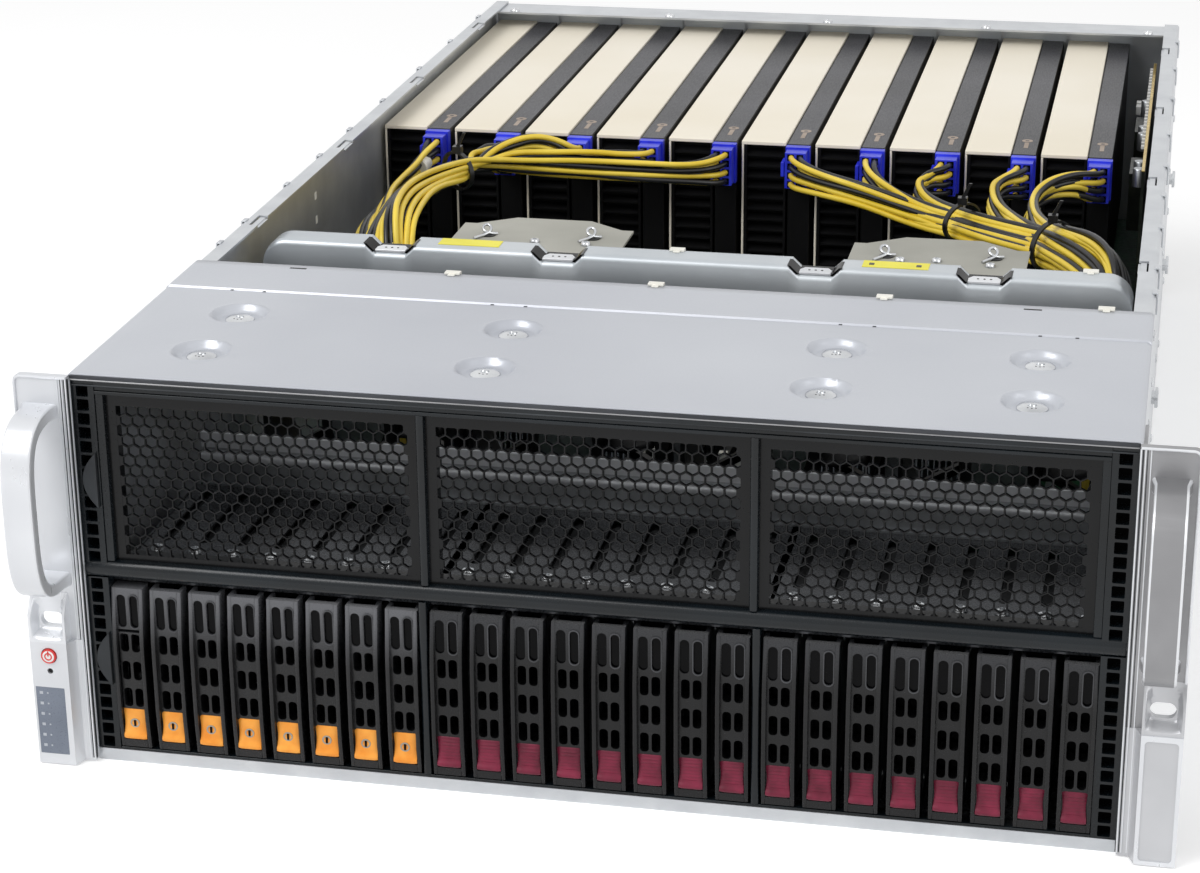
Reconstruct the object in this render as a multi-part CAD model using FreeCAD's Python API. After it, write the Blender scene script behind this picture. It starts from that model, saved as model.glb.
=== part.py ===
import FreeCAD, Part
import math
import os

# Rack server, four units high, with front drive bays and a row of accelerator cards.
# X runs to the right seen from the front, Y runs from the front to the rear, Z is up.
# Pieces are modelled with Y = 0 on the chassis front plane and Z = 0 under the floor.

# Chassis
CHASSIS_W = 437.0
CHASSIS_H = 177.8
CHASSIS_D = 737.0
RACK_W = 482.6
SHEET = 1.2
GAP = 0.2
TOP_FLANGE = 9.0
FRONT_LIP_H = 5.5
BEND_R = 2.0
HOOK_COUNT = 4
HOOK_LEN = 16.0

# Front cover
COVER_D = 157.0
COVER_REAR_LIP = 9.0
SEAM_Y = 119.0
SEAM_W = 0.8
SEAM_DEPTH = 0.5
DIMPLE_R = 12.3
DIMPLE_FLOOR_R = 7.5
DIMPLE_DEPTH = 0.9
DIMPLE_SIDES = 10
DIMPLE_X = (-173.0, -50.0, 89.5, 174.0)
DIMPLE_Y = (37.0, 87.0)

# Front frame and grilles
FRAME_D = 7.0
FRAME_HALF_W = 217.2
WINDOW_Z = (94.0, 169.0)
WINDOW_W = 133.6
WINDOW_PITCH = 137.0
BAY_TOP_Z = 86.5
BAY_FLOOR_Z = 6.8
BAY_W = 136.4
VENT_W = 4.2
VENT_H = 5.0
VENT_PITCH = 6.2
VENT_X = 212.4
VENT_STARTS_Z = (18.0, 66.0, 99.0, 150.0)
VENTS_PER_RUN = 3
TAB_Z = (49.0, 131.0)
TAB_H = 24.0
TAB_W = 5.0
TAB_X = 209.6
GRILLE_T = 1.2
GRILLE_MARGIN = 1.4
GRILLE_BORDER = 6.0
GRILLE_PITCH = 25.0
GRILLE_CELL_R = 12.8

# Drive bays
GROUPS = 3
BAYS_PER_GROUP = 8
GROUP_PITCH = 139.8
CARRIER_PITCH = 17.23
CARRIER_W = 13.8
CARRIER_Z = (7.3, 81.5)
BEZEL_D = 9.0
BEZEL_LEAN = 1.6
BEZEL_FOOT_LEAN = 0.4
BEZEL_BULGE = 0.8
BEZEL_SHOULDER = 24.0
BEZEL_SHIN = 16.0
RIM_W = 1.7
RIM_TOP = 1.6
RIM_FOOT = 3.4
POCKET_Y = 1.6
AIR_SLOT_W = 3.5
AIR_ROW_W = 8.3
AIR_SLOT_H = 8.8
AIR_SLOT_TOPS = (20.9, 34.1, 46.8)
AIR_SLOT_X = 2.4
CATCH_W = 9.6
CATCH_TOP = 56.7
CATCH_H = 13.4
CATCH_SLOPE_Y = (1.2, 0.2)
CATCH_LEDGE_Y = -0.7
CATCH_LEDGE_Z = (1.4, 3.0)
CATCH_STEM = 4.0
RAIL_T = 2.0
RAIL_END_Y = 108.0
DRIVE_T = 12.5
DRIVE_Y = (11.0, 111.0)
LEVER_TOP = 19.8
LEVER_T = 3.0
LEVER_GAP = 0.3
LEVER_HEADROOM = 1.0
PIN_R = 0.9
PIN_GAP = 0.1
PIN_REACH = 0.8
PIN_BORE_REACH = 1.0
CAGE_Y = (8.4, 116.0)
CAGE_HALF_W = 209.6
CAGE_TOP_Z = 83.4
CAGE_SLOTS = 3
CAGE_SLOT_Y = (28.4, 86.0)
BACKPLANE_Y = (118.0, 120.4)
BACKPLANE_INSET = 2.0
BACKPLANE_AIR_Z = (62.0, 76.0)
BACKPLANE_AIR_W = 110.0
DRIVE_SOCKET_Y = 112.5
DRIVE_SOCKET_Z = (20.0, 54.0)

# Rack ears, handles and controls
EAR_T = 3.0
EAR_LAP = 0.8
EAR_Z = (0.6, 177.0)
EAR_CORNER_R = 5.0
EAR_PANEL_Y = -9.0
EAR_PANEL_X = 224.8
EAR_PANEL_TOP = 79.0
EAR_FLANGE_D = 40.0
EAR_FLANGE_T = 1.5
EAR_FLANGE_Z = (8.0, 170.0)
FUNNEL_RIM = 1.2
FUNNEL_MOUTH_Z = (60.0, 78.0)
FUNNEL_FLOOR_Z = (62.2, 71.2)
RACK_SLOT_X = 465.1 / 2
RACK_SLOT_Z = 66.7
RACK_SLOT_L = 10.5
RACK_SLOT_R = 3.4
HANDLE_X = 230.3
HANDLE_W = 12.0
HANDLE_Y = -34.0
HANDLE_Z = (80.0, 167.5)
HANDLE_BAR = 5.5
HANDLE_FOOT = 12.0
HANDLE_R = 24.0
POWER_BUTTON = (-233.0, 52.0)
POWER_BUTTON_R = 3.3
POWER_BUTTON_Y = -9.8
RESET_BUTTON = (-233.0, 44.8)
RESET_BUTTON_R = 1.0
RESET_BUTTON_Y = -8.2
BUTTON_GAP = 0.3
BUTTON_END_Y = -4.6
STATUS_X = (-240.3, -227.3)
STATUS_Z = (5.4, 37.0)
STATUS_T = 1.0

# Fan bulkhead
WALL_Y = 222.0
WALL_TOP_Z = 170.0
WALL_HALF_W = 208.0
WALL_FLANGE = 14.0
WALL_END_R = 12.0
NOTCH_X = (-144.0, -61.5, 61.5, 140.0)
NOTCH_W = (24.0, 15.0)
NOTCH_DEPTH = 4.3
FAN_X = (-153.0, -51.0, 51.0, 153.0)
FAN_Z = 88.0
FAN_SIZE = 92.0
FAN_D = 38.0
FAN_CORNER = 4.0
FAN_BORE_R = 44.0
FAN_BORE_SIDES = 12
FAN_OPENING_CORNER = 22.0
FAN_STRUTS = 3
STRUT_W = 4.0
STRUT_D = 5.0
CUP_R = 17.0
CUP_D = 14.0
CUP_SIDES = 8
ROTOR_MIDDLE_Y = 198.0
ROTOR_HUB_R = 19.0
ROTOR_HUB_D = 18.0
ROTOR_BLADES = 5
BLADE_R = (17.5, 41.0)
BLADE_CHORD = (16.0, 25.0)
BLADE_PITCH = (52.0, 30.0)
BLADE_T = 1.6

# Cable shelves behind the bulkhead
SHELF_X = ((-124.0, -38.0), (72.0, 157.0))
SHELF_Z = 162.0
SHELF_REAR_Y = 304.0
SHELF_LIP = 10.0
SHELF_LEDGE_X = 6.0
SHELF_CUT_X = 24.0
SHELF_CUT_Y = 13.0

# Main board
BOARD_T = 1.6
BOARD_Z = 8.0
BOARD_HALF_W = 166.0
BOARD_Y = (284.0, 432.0)
BOARD_TAIL_HALF_W = 58.0
BOARD_TAIL_Y = 730.0
BOARD_POST = 6.0
BOARD_POST_INSET = 8.0
CPU_X = 84.0
CPU_Y = (298.0, 398.0)
CPU_HALF_W = 42.0
SOCKET_W = 64.0
SOCKET_TOP_Z = 16.0
HEATSINK_TOP_Z = 72.0
HEATSINK_BASE = 5.0
FIN_COUNT = 8
FIN_T = 2.0
DIMM_Y = (288.0, 421.0)
DIMM_T = 3.6
DIMM_FIRST = 50.0
DIMM_PITCH = 8.5
DIMMS_PER_SIDE = 4
DIMM_TOP_Z = 46.0
PORT_Y = (716.0, 735.4)
PORT_TOP_Z = 23.0
PORT_X = (-44.0, -24.0, -4.0, 16.0, 40.0)
PORT_W = 16.0
PORT_WALL = 2.0
PORT_DEPTH = 3.0

# Power boards: a strip beside the main board with a wide front end and a wide rear end
POWER_BOARD_Z = (10.0, 12.0)
POWER_BOARD_X = (-214.0, -172.0)
POWER_BOARD_FRONT = (236.0, 280.0)
POWER_BOARD_FRONT_X = -118.0
POWER_BOARD_REAR = (436.0, 465.7)
POWER_BOARD_REAR_X = -66.0
POWER_POST = 6.0
POWER_POST_INSET = 8.0
SUPPLY_SOCKET_W = 40.0
SUPPLY_SOCKET_D = 14.0
SUPPLY_SOCKET_TOP_Z = 30.0
HEADER_TOP_Z = 24.0
HEADER_W = 18.0

# Accelerator cards
CARD_COUNT = 10
CARD_PITCH = 40.64
CARD_FIRST_X = -214.4
CARD_SHROUD_W = 24.6
CARD_STRIP_W = 13.0
CARD_Y = (460.0, 734.2)
CARD_Z = (66.0, 165.0)
CARD_STRIP_DROP = 0.8
CARD_GROOVE_W = 0.8
CARD_GROOVE_DEPTH = 1.6
MOUTH_SIDE = 2.2
MOUTH_Z = (75.0, 163.0)
MOUTH_D = 14.0
MOUTH_GAPS = 3
MOUTH_FIN_T = 1.8
FINGER_X = (4.4, 6.0)
FINGER_INSET = 3.0
BRACKET_T = 1.0
BRACKET_X = (0.4, 39.2)
BRACKET_Z = (58.0, 171.0)
GPU_BOARD_Z = (50.0, 52.4)
GPU_BOARD_Y = (442.0, 728.0)
GPU_BOARD_HALF_W = 214.0
GPU_POST = 8.0
GPU_POST_X = (-190.0, -80.0, 80.0, 190.0)
GPU_POST_Y = (480.0, 710.0)
SLOT_X = 5.2
SLOT_W = 7.5
SLOT_TOP_Z = 64.0
SLOT_Y = (600.0, 690.0)
PLUG_X = 31.6
PLUG_W = 11.4
PLUG_Y = (446.0, 459.8)
PLUG_Z = (143.0, 163.0)
PLUG_COLLAR = 0.9
PLUG_COLLAR_D = 5.0
RISER_X = (205.0, 206.6)
RISER_Y = (452.0, 700.0)
RISER_TOP_Z = 160.0
RISER_SOCKET_Y = (500.0, 590.0)
RISER_SOCKET_L = 34.0
RISER_SOCKET_D = 7.0
RISER_SOCKET_Z = (118.0, 150.0)

# Power supplies
PSU_W = 73.4
PSU_Z = (2.8, 43.4)
PSU_Y = (474.0, 737.4)
PSU_EDGE_W = 36.0
PSU_EDGE_D = 8.0
PSU_EDGE_Z = (20.0, 22.0)
PSU_BAY_W = 75.0
PSU_BAY_WALL = 1.0
PSU_BAY_Z = (1.2, 45.2)
PSU_BAY_Y = (470.0, 735.6)
PSU_BAY_X = 216.6
PULL_Y = 757.0
PULL_X = (-33.0, -1.0)
PULL_Z = (30.0, 38.0)
PULL_BAR = 4.0
PULL_R = 6.0
INLET_X = 19.0
INLET_Z = 18.0
INLET_W = 26.0
INLET_H = 20.0
INLET_D = 13.0

# Rear panel
REAR_FLANGE = 24.0
CARD_WINDOW_INSET = 2.0
CARD_WINDOW_Z = (72.0, 162.0)
PORT_WINDOW_MARGIN = 3.0

# Power looms: bundle section, height of the run, and corners of each side's route in plan
LOOM_W = 14.0
LOOM_H = 12.0
LOOM_Z = 153.0
LOOM_LEFT_ROUTE = ((-20.5, 446.0), (-20.5, 424.0), (-128.0, 424.0), (-152.0, 380.0), (-152.0, 268.0))
LOOM_RIGHT_ROUTE = ((20.1, 446.0), (20.1, 426.0), (120.0, 376.0), (170.0, 318.0), (195.0, 262.0))
LOOM_BENDS = (11.0, 14.0, 40.0, 45.0)
SPUR_W = 9.8
SPUR_H = 11.0
LOOM_LEFT_SPURS = (((-61.1, 446.0), (-61.1, 424.0)), ((-101.8, 446.0), (-101.8, 424.0)),
                   ((-142.4, 446.0), (-142.4, 400.0)), ((-183.0, 446.0), (-157.0, 360.0)))
LOOM_RIGHT_SPURS = (((60.8, 446.0), (80.0, 396.0)), ((101.4, 446.0), (110.0, 382.0)),
                    ((142.1, 446.0), (158.0, 334.0)), ((182.7, 446.0), (172.0, 318.0)))

# The origin is under the middle of the whole object, handles at both ends included.
ORIGIN_Y = (HANDLE_Y + PULL_Y) / 2

HALF_W = CHASSIS_W / 2
EAR_EDGE_X = RACK_W / 2
TRAY_H = CHASSIS_H - SHEET
CARRIER_TOP = CARRIER_Z[1]
BOARD_TOP = BOARD_Z + BOARD_T
TINY = 1e-6
NORMALS = {"xy": FreeCAD.Vector(0, 0, 1), "xz": FreeCAD.Vector(0, 1, 0), "yz": FreeCAD.Vector(1, 0, 0)}


def vec(x, y, z):
    """Point or direction in space."""
    return FreeCAD.Vector(x, y, z)


def box(x_span, y_span, z_span):
    """Block between two limits on each axis."""
    size = [span[1] - span[0] for span in (x_span, y_span, z_span)]
    return Part.makeBox(size[0], size[1], size[2], vec(x_span[0], y_span[0], z_span[0]))


def around(centre, width):
    """Limits of a span of the given width about its centre."""
    return (centre - width / 2, centre + width / 2)


def on_plane(plane, u, v, offset):
    """Point (u, v) of a principal plane, moved along the plane's normal."""
    return {"xy": vec(u, v, offset), "xz": vec(u, offset, v), "yz": vec(offset, u, v)}[plane]


def rounded_corner(before, corner, after, radius):
    """Tangent points and middle of the arc that rounds a corner."""
    to_before = (before - corner).normalize()
    to_after = (after - corner).normalize()
    half_turn = to_before.getAngle(to_after) / 2
    bisector = (to_before + to_after).normalize()
    reach = radius / math.tan(half_turn)
    middle = corner + bisector * (radius / math.sin(half_turn) - radius)
    return corner + to_before * reach, middle, corner + to_after * reach


def outline(points, plane, offset):
    """Closed wire through (u, v) points; a third value rounds that corner."""
    places = [on_plane(plane, p[0], p[1], offset) for p in points]
    stretches = []
    for i, point in enumerate(points):
        if len(point) > 2:
            following = places[(i + 1) % len(places)]
            stretches.append(rounded_corner(places[i - 1], places[i], following, point[2]))
        else:
            stretches.append((places[i],))
    edges = []
    for i, stretch in enumerate(stretches):
        last = stretches[i - 1][-1]
        if last.distanceToPoint(stretch[0]) > TINY:
            edges.append(Part.LineSegment(last, stretch[0]).toShape())
        if len(stretch) > 1:
            edges.append(Part.Arc(*stretch).toShape())
    return Part.Wire(edges)


def slab(points, plane, start, thickness):
    """Outline on a principal plane, given a thickness along the plane's normal."""
    return Part.Face(outline(points, plane, start)).extrude(NORMALS[plane] * thickness)


def rectangle(u_span, v_span, radius=0.0):
    """Corner points of a rectangle, with rounded corners when a radius is given."""
    corners = [(u_span[0], v_span[0]), (u_span[1], v_span[0]), (u_span[1], v_span[1]), (u_span[0], v_span[1])]
    return [c + (radius,) for c in corners] if radius else corners


def chamfered(u_span, v_span, corner):
    """Corner points of a rectangle with its four corners cut at 45 degrees."""
    u0, u1 = u_span
    v0, v1 = v_span
    return [(u0 + corner, v0), (u1 - corner, v0), (u1, v0 + corner), (u1, v1 - corner),
            (u1 - corner, v1), (u0 + corner, v1), (u0, v1 - corner), (u0, v0 + corner)]


def regular_polygon(u, v, radius, sides, turn=0.0):
    """Corner points of a regular polygon round (u, v)."""
    angles = [turn + 2 * math.pi * i / sides for i in range(sides)]
    return [(u + radius * math.cos(a), v + radius * math.sin(a)) for a in angles]


def solid_between(lower, upper):
    """Solid between two loops with as many corners; each side is two flat triangles."""
    faces = [Part.Face(Part.makePolygon(loop + loop[:1])) for loop in (lower, upper)]
    for i in range(len(lower)):
        j = (i + 1) % len(lower)
        for triangle in ([lower[i], lower[j], upper[j]], [lower[i], upper[j], upper[i]]):
            faces.append(Part.Face(Part.makePolygon(triangle + triangle[:1])))
    return Part.makeSolid(Part.makeShell(faces))


def mirrored(shape):
    """The same piece on the other side of the chassis."""
    return shape.mirror(vec(0, 0, 0), vec(1, 0, 0))


def moved_x(shapes, x):
    """Copies of some shapes, moved sideways."""
    return [shape.translated(vec(x, 0, 0)) for shape in shapes]


def joined(shapes):
    """One solid from pieces that touch, without leftover seams."""
    return shapes[0].fuse(shapes[1:]).removeSplitter()


def pair_spans(half_from, half_to):
    """The left and right spans that mirror each other."""
    return ((-half_to, -half_from), (half_from, half_to))


def export(name, shapes):
    """Write one node, with the origin moved under the middle of the object."""
    solids = [s for shape in shapes for s in shape.Solids]
    node = solids[0] if len(solids) == 1 else Part.makeCompound(solids)
    node.translate(vec(0, -ORIGIN_Y, 0))
    node.exportStep("parts/%s.step" % name)


def chassis_tray():
    """Folded floor and side walls with inward top flanges, hook slots and a front lip."""
    inner = HALF_W - SHEET
    edge = HALF_W - TOP_FLANGE
    right = [(HALF_W, 0, BEND_R), (HALF_W, TRAY_H, BEND_R), (edge, TRAY_H), (edge, TRAY_H - SHEET),
             (inner, TRAY_H - SHEET), (inner, SHEET)]
    left = [(-p[0],) + p[1:] for p in reversed(right)]
    tray = slab(right + left, "xz", 0, CHASSIS_D)
    lip = box((-inner, inner), (0, SHEET), (SHEET, FRONT_LIP_H))
    step = (CHASSIS_D - COVER_D) / HOOK_COUNT
    slots = []
    for i in range(HOOK_COUNT):
        y_span = around(COVER_D + step * (i + 0.5), HOOK_LEN)
        for x_span in pair_spans(edge - SHEET, edge + TOP_FLANGE / 2):
            slots.append(box(x_span, y_span, (TRAY_H - SHEET, TRAY_H)))
    return tray.cut(slots).fuse(lip).removeSplitter()


def dimple(x, y):
    """Pressed hollow with sloping sides, as a tool to cut with."""
    loops = []
    for radius, z in ((DIMPLE_FLOOR_R, CHASSIS_H - DIMPLE_DEPTH), (DIMPLE_R, CHASSIS_H)):
        loops.append([vec(u, v, z) for u, v in regular_polygon(x, y, radius, DIMPLE_SIDES)])
    return solid_between(*loops)


def front_top_cover():
    """Front part of the lid: a seam line, a folded rear lip and eight pressed dimples."""
    sheet = box((-HALF_W, HALF_W), (0, COVER_D), (TRAY_H, CHASSIS_H))
    lip_half = HALF_W - TOP_FLANGE - SHEET
    lip = box((-lip_half, lip_half), (COVER_D - SHEET, COVER_D), (TRAY_H - COVER_REAR_LIP, TRAY_H))
    seam = box((-HALF_W, HALF_W), around(SEAM_Y, SEAM_W), (CHASSIS_H - SEAM_DEPTH, CHASSIS_H))
    dimples = [dimple(x, y) for x in DIMPLE_X for y in DIMPLE_Y]
    return sheet.fuse(lip).cut([seam] + dimples).removeSplitter()


def window_centres():
    """Middle of each intake window."""
    return [(i - 1) * WINDOW_PITCH for i in range(GROUPS)]


def bay_centres():
    """Middle of each group of drive bays."""
    return [(i - 1) * GROUP_PITCH for i in range(GROUPS)]


def front_frame():
    """Black frame with three windows over three bays, side vents and lens-shaped finger tabs."""
    z_span = (FRONT_LIP_H + GAP, TRAY_H - SHEET - GAP)
    depth = (0, FRAME_D)
    frame = box((-FRAME_HALF_W, FRAME_HALF_W), depth, z_span)
    cuts = [box(around(x, WINDOW_W), depth, WINDOW_Z) for x in window_centres()]
    cuts += [box(around(x, BAY_W), depth, (BAY_FLOOR_Z, BAY_TOP_Z)) for x in bay_centres()]
    tabs = []
    for side in (-1, 1):
        for start in VENT_STARTS_Z:
            for i in range(VENTS_PER_RUN):
                cuts.append(box(around(side * VENT_X, VENT_W), depth, around(start + i * VENT_PITCH, VENT_H)))
        tabs += [finger_tab(side, z) for z in TAB_Z]
    return frame.cut(cuts).fuse(tabs).removeSplitter()


def finger_tab(side, z):
    """Lens-shaped tab on the frame's side strip, flat on its inner edge."""
    inner = side * TAB_X
    low, high = around(z, TAB_H)
    start = vec(inner, -SHEET, low)
    end = vec(inner, -SHEET, high)
    bow = Part.Arc(start, vec(inner + side * TAB_W, -SHEET, z), end).toShape()
    chord = Part.LineSegment(end, start).toShape()
    return Part.Face(Part.Wire([bow, chord])).extrude(vec(0, SHEET, 0))


def intake_grille(centre_x):
    """Perforated panel with offset rows of hexagonal cells inside a plain border."""
    z_span = (WINDOW_Z[0] - GRILLE_MARGIN, WINDOW_Z[1] + GRILLE_MARGIN)
    panel = box(around(centre_x, WINDOW_W + 2 * GRILLE_MARGIN), (FRAME_D, FRAME_D + GRILLE_T), z_span)
    row_step = GRILLE_PITCH * math.sqrt(3) / 2
    rows = int((z_span[1] - z_span[0] - 2 * GRILLE_BORDER) / row_step)
    columns = int((WINDOW_W - 2 * GRILLE_BORDER) / GRILLE_PITCH)
    middle_z = sum(z_span) / 2
    cells = []
    for row in range(rows):
        shift = GRILLE_PITCH / 4 * (1 if row % 2 else -1)
        for column in range(columns):
            x = centre_x + (column - (columns - 1) / 2) * GRILLE_PITCH + shift
            z = middle_z + (row - (rows - 1) / 2) * row_step
            hexagon = regular_polygon(x, z, GRILLE_CELL_R, 6, math.pi / 6)
            cells.append(slab(hexagon, "xz", FRAME_D, GRILLE_T))
    return panel.cut(cells)


def air_rows(x_spans, depth):
    """Air slots in three rows, one slot of a row for each x span, as tools to cut with."""
    tools = []
    for top in AIR_SLOT_TOPS:
        z_span = (CARRIER_TOP - top - AIR_SLOT_H, CARRIER_TOP - top)
        tools += [box(x_span, (POCKET_Y, POCKET_Y + depth), z_span) for x_span in x_spans]
    return tools


def bezel_blank():
    """Bezel block with a bowed front and a sunk middle, on two rails."""
    low, high = CARRIER_Z
    half = CARRIER_W / 2
    side_view = [(BEZEL_D, low), (BEZEL_D, high), (BEZEL_LEAN, high), (-BEZEL_BULGE, high - BEZEL_SHOULDER),
                 (-BEZEL_BULGE, low + BEZEL_SHIN), (BEZEL_FOOT_LEAN, low)]
    blank = slab(side_view, "yz", -half, CARRIER_W)
    pocket = box(around(0, CARRIER_W - 2 * RIM_W), (-BEZEL_D, POCKET_Y), (low + RIM_FOOT, high - RIM_TOP))
    rails = []
    for z_span in ((low, low + RAIL_T), (high - RAIL_T, high)):
        rails.append(box(around(0, CARRIER_W), (BEZEL_D, RAIL_END_Y), z_span))
    return blank.cut(pocket).fuse(rails)


def release_catch(depth):
    """Push catch with a sloping face and a thumb ledge along its lower edge."""
    high = CARRIER_TOP - CATCH_TOP
    low = high - CATCH_H
    ledge_top, ledge_root = CATCH_LEDGE_Z
    side_view = [(depth, low), (depth, high), (CATCH_SLOPE_Y[0], high), (CATCH_SLOPE_Y[1], low + ledge_root),
                 (CATCH_LEDGE_Y, low + ledge_top), (CATCH_LEDGE_Y, low)]
    return slab(side_view, "yz", -CATCH_W / 2, CATCH_W)


def lever_axle(radius, half_length):
    """Cylinder on the lever's hinge line."""
    hinge_z = CARRIER_TOP - LEVER_TOP - LEVER_T / 2
    start = vec(-half_length, POCKET_Y + LEVER_T / 2, hinge_z)
    return Part.makeCylinder(radius, 2 * half_length, start, vec(1, 0, 0))


def ejector_lever():
    """Slotted lever in the bezel's middle, turning on two short trunnions at its top."""
    opening_half = CARRIER_W / 2 - RIM_W
    z_span = (CARRIER_TOP - CATCH_TOP + 2 * LEVER_GAP, CARRIER_TOP - LEVER_TOP)
    plate = box(around(0, 2 * (opening_half - LEVER_GAP)), (POCKET_Y, POCKET_Y + LEVER_T), z_span)
    pairs = [around(side * AIR_SLOT_X, AIR_SLOT_W) for side in (-1, 1)]
    return plate.fuse(lever_axle(PIN_R, opening_half + PIN_REACH)).cut(air_rows(pairs, LEVER_T))


def lever_opening():
    """Space in the bezel for the lever, its trunnions and the catch, as tools to cut with."""
    opening_half = CARRIER_W / 2 - RIM_W
    z_span = (CARRIER_TOP - CATCH_TOP - CATCH_H - LEVER_GAP, CARRIER_TOP - LEVER_TOP + LEVER_HEADROOM)
    space = box((-opening_half, opening_half), (0, BEZEL_D), z_span)
    return [space, lever_axle(PIN_R + PIN_GAP, opening_half + PIN_BORE_REACH)]


def drive():
    """Drive body held between the carrier's two rails."""
    return box(around(0, DRIVE_T), DRIVE_Y, (CARRIER_Z[0] + RAIL_T, CARRIER_Z[1] - RAIL_T))


def open_carrier():
    """Carrier and drive, with room in the bezel for a separate lever and catch."""
    return [bezel_blank().cut(lever_opening()).removeSplitter(), drive()]


def closed_carrier():
    """Carrier and drive, with the slotted lever closed flush in the bezel and the catch on it."""
    bezel = bezel_blank().cut(air_rows([around(0, AIR_ROW_W)], BEZEL_D - POCKET_Y)).removeSplitter()
    return [bezel, release_catch(POCKET_Y), drive()]


def carrier_centres():
    """Middle of every drive bay, from left to right."""
    offsets = [(i - (BAYS_PER_GROUP - 1) / 2) * CARRIER_PITCH for i in range(BAYS_PER_GROUP)]
    return [group + offset for group in bay_centres() for offset in offsets]


def drive_cage():
    """Sheet cage with three bays and vent slots in its top."""
    cage = box((-CAGE_HALF_W, CAGE_HALF_W), CAGE_Y, (FRONT_LIP_H + GAP, CAGE_TOP_Z))
    roof = (CAGE_TOP_Z - SHEET, CAGE_TOP_Z)
    cuts = []
    for centre in bay_centres():
        cuts.append(box(around(centre, BAY_W + GAP), CAGE_Y, (BAY_FLOOR_Z, roof[0])))
        for i in range(CAGE_SLOTS):
            x = centre + (i - (CAGE_SLOTS - 1) / 2) * CARRIER_PITCH * 2
            cuts.append(box(around(x, CARRIER_PITCH), CAGE_SLOT_Y, roof))
    return cage.cut(cuts)


def drive_backplane():
    """Board behind the drives with air slots, and a row of connectors for each group of bays."""
    half = CAGE_HALF_W - BACKPLANE_INSET
    board = box((-half, half), BACKPLANE_Y, (BAY_FLOOR_Z, CAGE_TOP_Z))
    slots = [box(around(x, BACKPLANE_AIR_W), BACKPLANE_Y, BACKPLANE_AIR_Z) for x in bay_centres()]
    reach = (DRIVE_SOCKET_Y, BACKPLANE_Y[0])
    row_w = BAYS_PER_GROUP * CARRIER_PITCH - CARRIER_W
    sockets = [box(around(x, row_w), reach, DRIVE_SOCKET_Z) for x in bay_centres()]
    return [board.cut(slots)] + sockets


def rack_ear(control_holes):
    """Right-hand ear: front plate with raised panel, funnel round the rack slot, side flange."""
    low, high = EAR_Z
    inner = HALF_W - EAR_LAP
    face = [(inner, low), (EAR_EDGE_X, low), (EAR_EDGE_X, high, EAR_CORNER_R), (inner, high)]
    plate = slab(face, "xz", -EAR_T, EAR_T)
    flange = box((HALF_W, HALF_W + EAR_FLANGE_T), (0, EAR_FLANGE_D), EAR_FLANGE_Z)
    panel = box((EAR_PANEL_X, EAR_EDGE_X), (EAR_PANEL_Y, -EAR_T), (low, EAR_PANEL_TOP))
    funnel_side = [(EAR_PANEL_Y, FUNNEL_MOUTH_Z[0]), (EAR_PANEL_Y, FUNNEL_MOUTH_Z[1]),
                   (-EAR_T, FUNNEL_FLOOR_Z[1]), (-EAR_T, FUNNEL_FLOOR_Z[0])]
    funnel_x = (EAR_PANEL_X + FUNNEL_RIM, EAR_EDGE_X - FUNNEL_RIM)
    funnel = slab(funnel_side, "yz", funnel_x[0], funnel_x[1] - funnel_x[0])
    slot_face = rectangle(around(RACK_SLOT_X, RACK_SLOT_L), around(RACK_SLOT_Z, 2 * RACK_SLOT_R), RACK_SLOT_R)
    slot = slab(slot_face, "xz", -EAR_T, EAR_T)
    return joined([plate, flange, panel]).cut([funnel, slot] + control_holes)


def control_holes():
    """Bores for the two buttons and the seat of the status window, placed on the right-hand ear."""
    depth = -EAR_PANEL_Y - EAR_T
    holes = []
    for (x, z), radius in ((POWER_BUTTON, POWER_BUTTON_R), (RESET_BUTTON, RESET_BUTTON_R)):
        holes.append(Part.makeCylinder(radius + BUTTON_GAP, depth, vec(-x, EAR_PANEL_Y, z), vec(0, 1, 0)))
    seat = box((-STATUS_X[1], -STATUS_X[0]), (EAR_PANEL_Y, EAR_PANEL_Y + STATUS_T), STATUS_Z)
    return holes + [seat]


def round_button(place, radius, front_y):
    """Button shaft standing in its bore, clear of the bore's floor."""
    return Part.makeCylinder(radius, BUTTON_END_Y - front_y, vec(place[0], front_y, place[1]), vec(0, 1, 0))


def front_handle():
    """Right-hand strap handle: a flat bar on two feet, with large round shoulders."""
    low, high = HANDLE_Z
    inner_y = HANDLE_Y + HANDLE_BAR
    inner_r = HANDLE_R - HANDLE_BAR
    side = [(-EAR_T, high), (HANDLE_Y, high, HANDLE_R), (HANDLE_Y, low, HANDLE_R), (-EAR_T, low),
            (-EAR_T, low + HANDLE_FOOT), (inner_y, low + HANDLE_FOOT, inner_r),
            (inner_y, high - HANDLE_FOOT, inner_r), (-EAR_T, high - HANDLE_FOOT)]
    return slab(side, "yz", HANDLE_X - HANDLE_W / 2, HANDLE_W)


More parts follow.
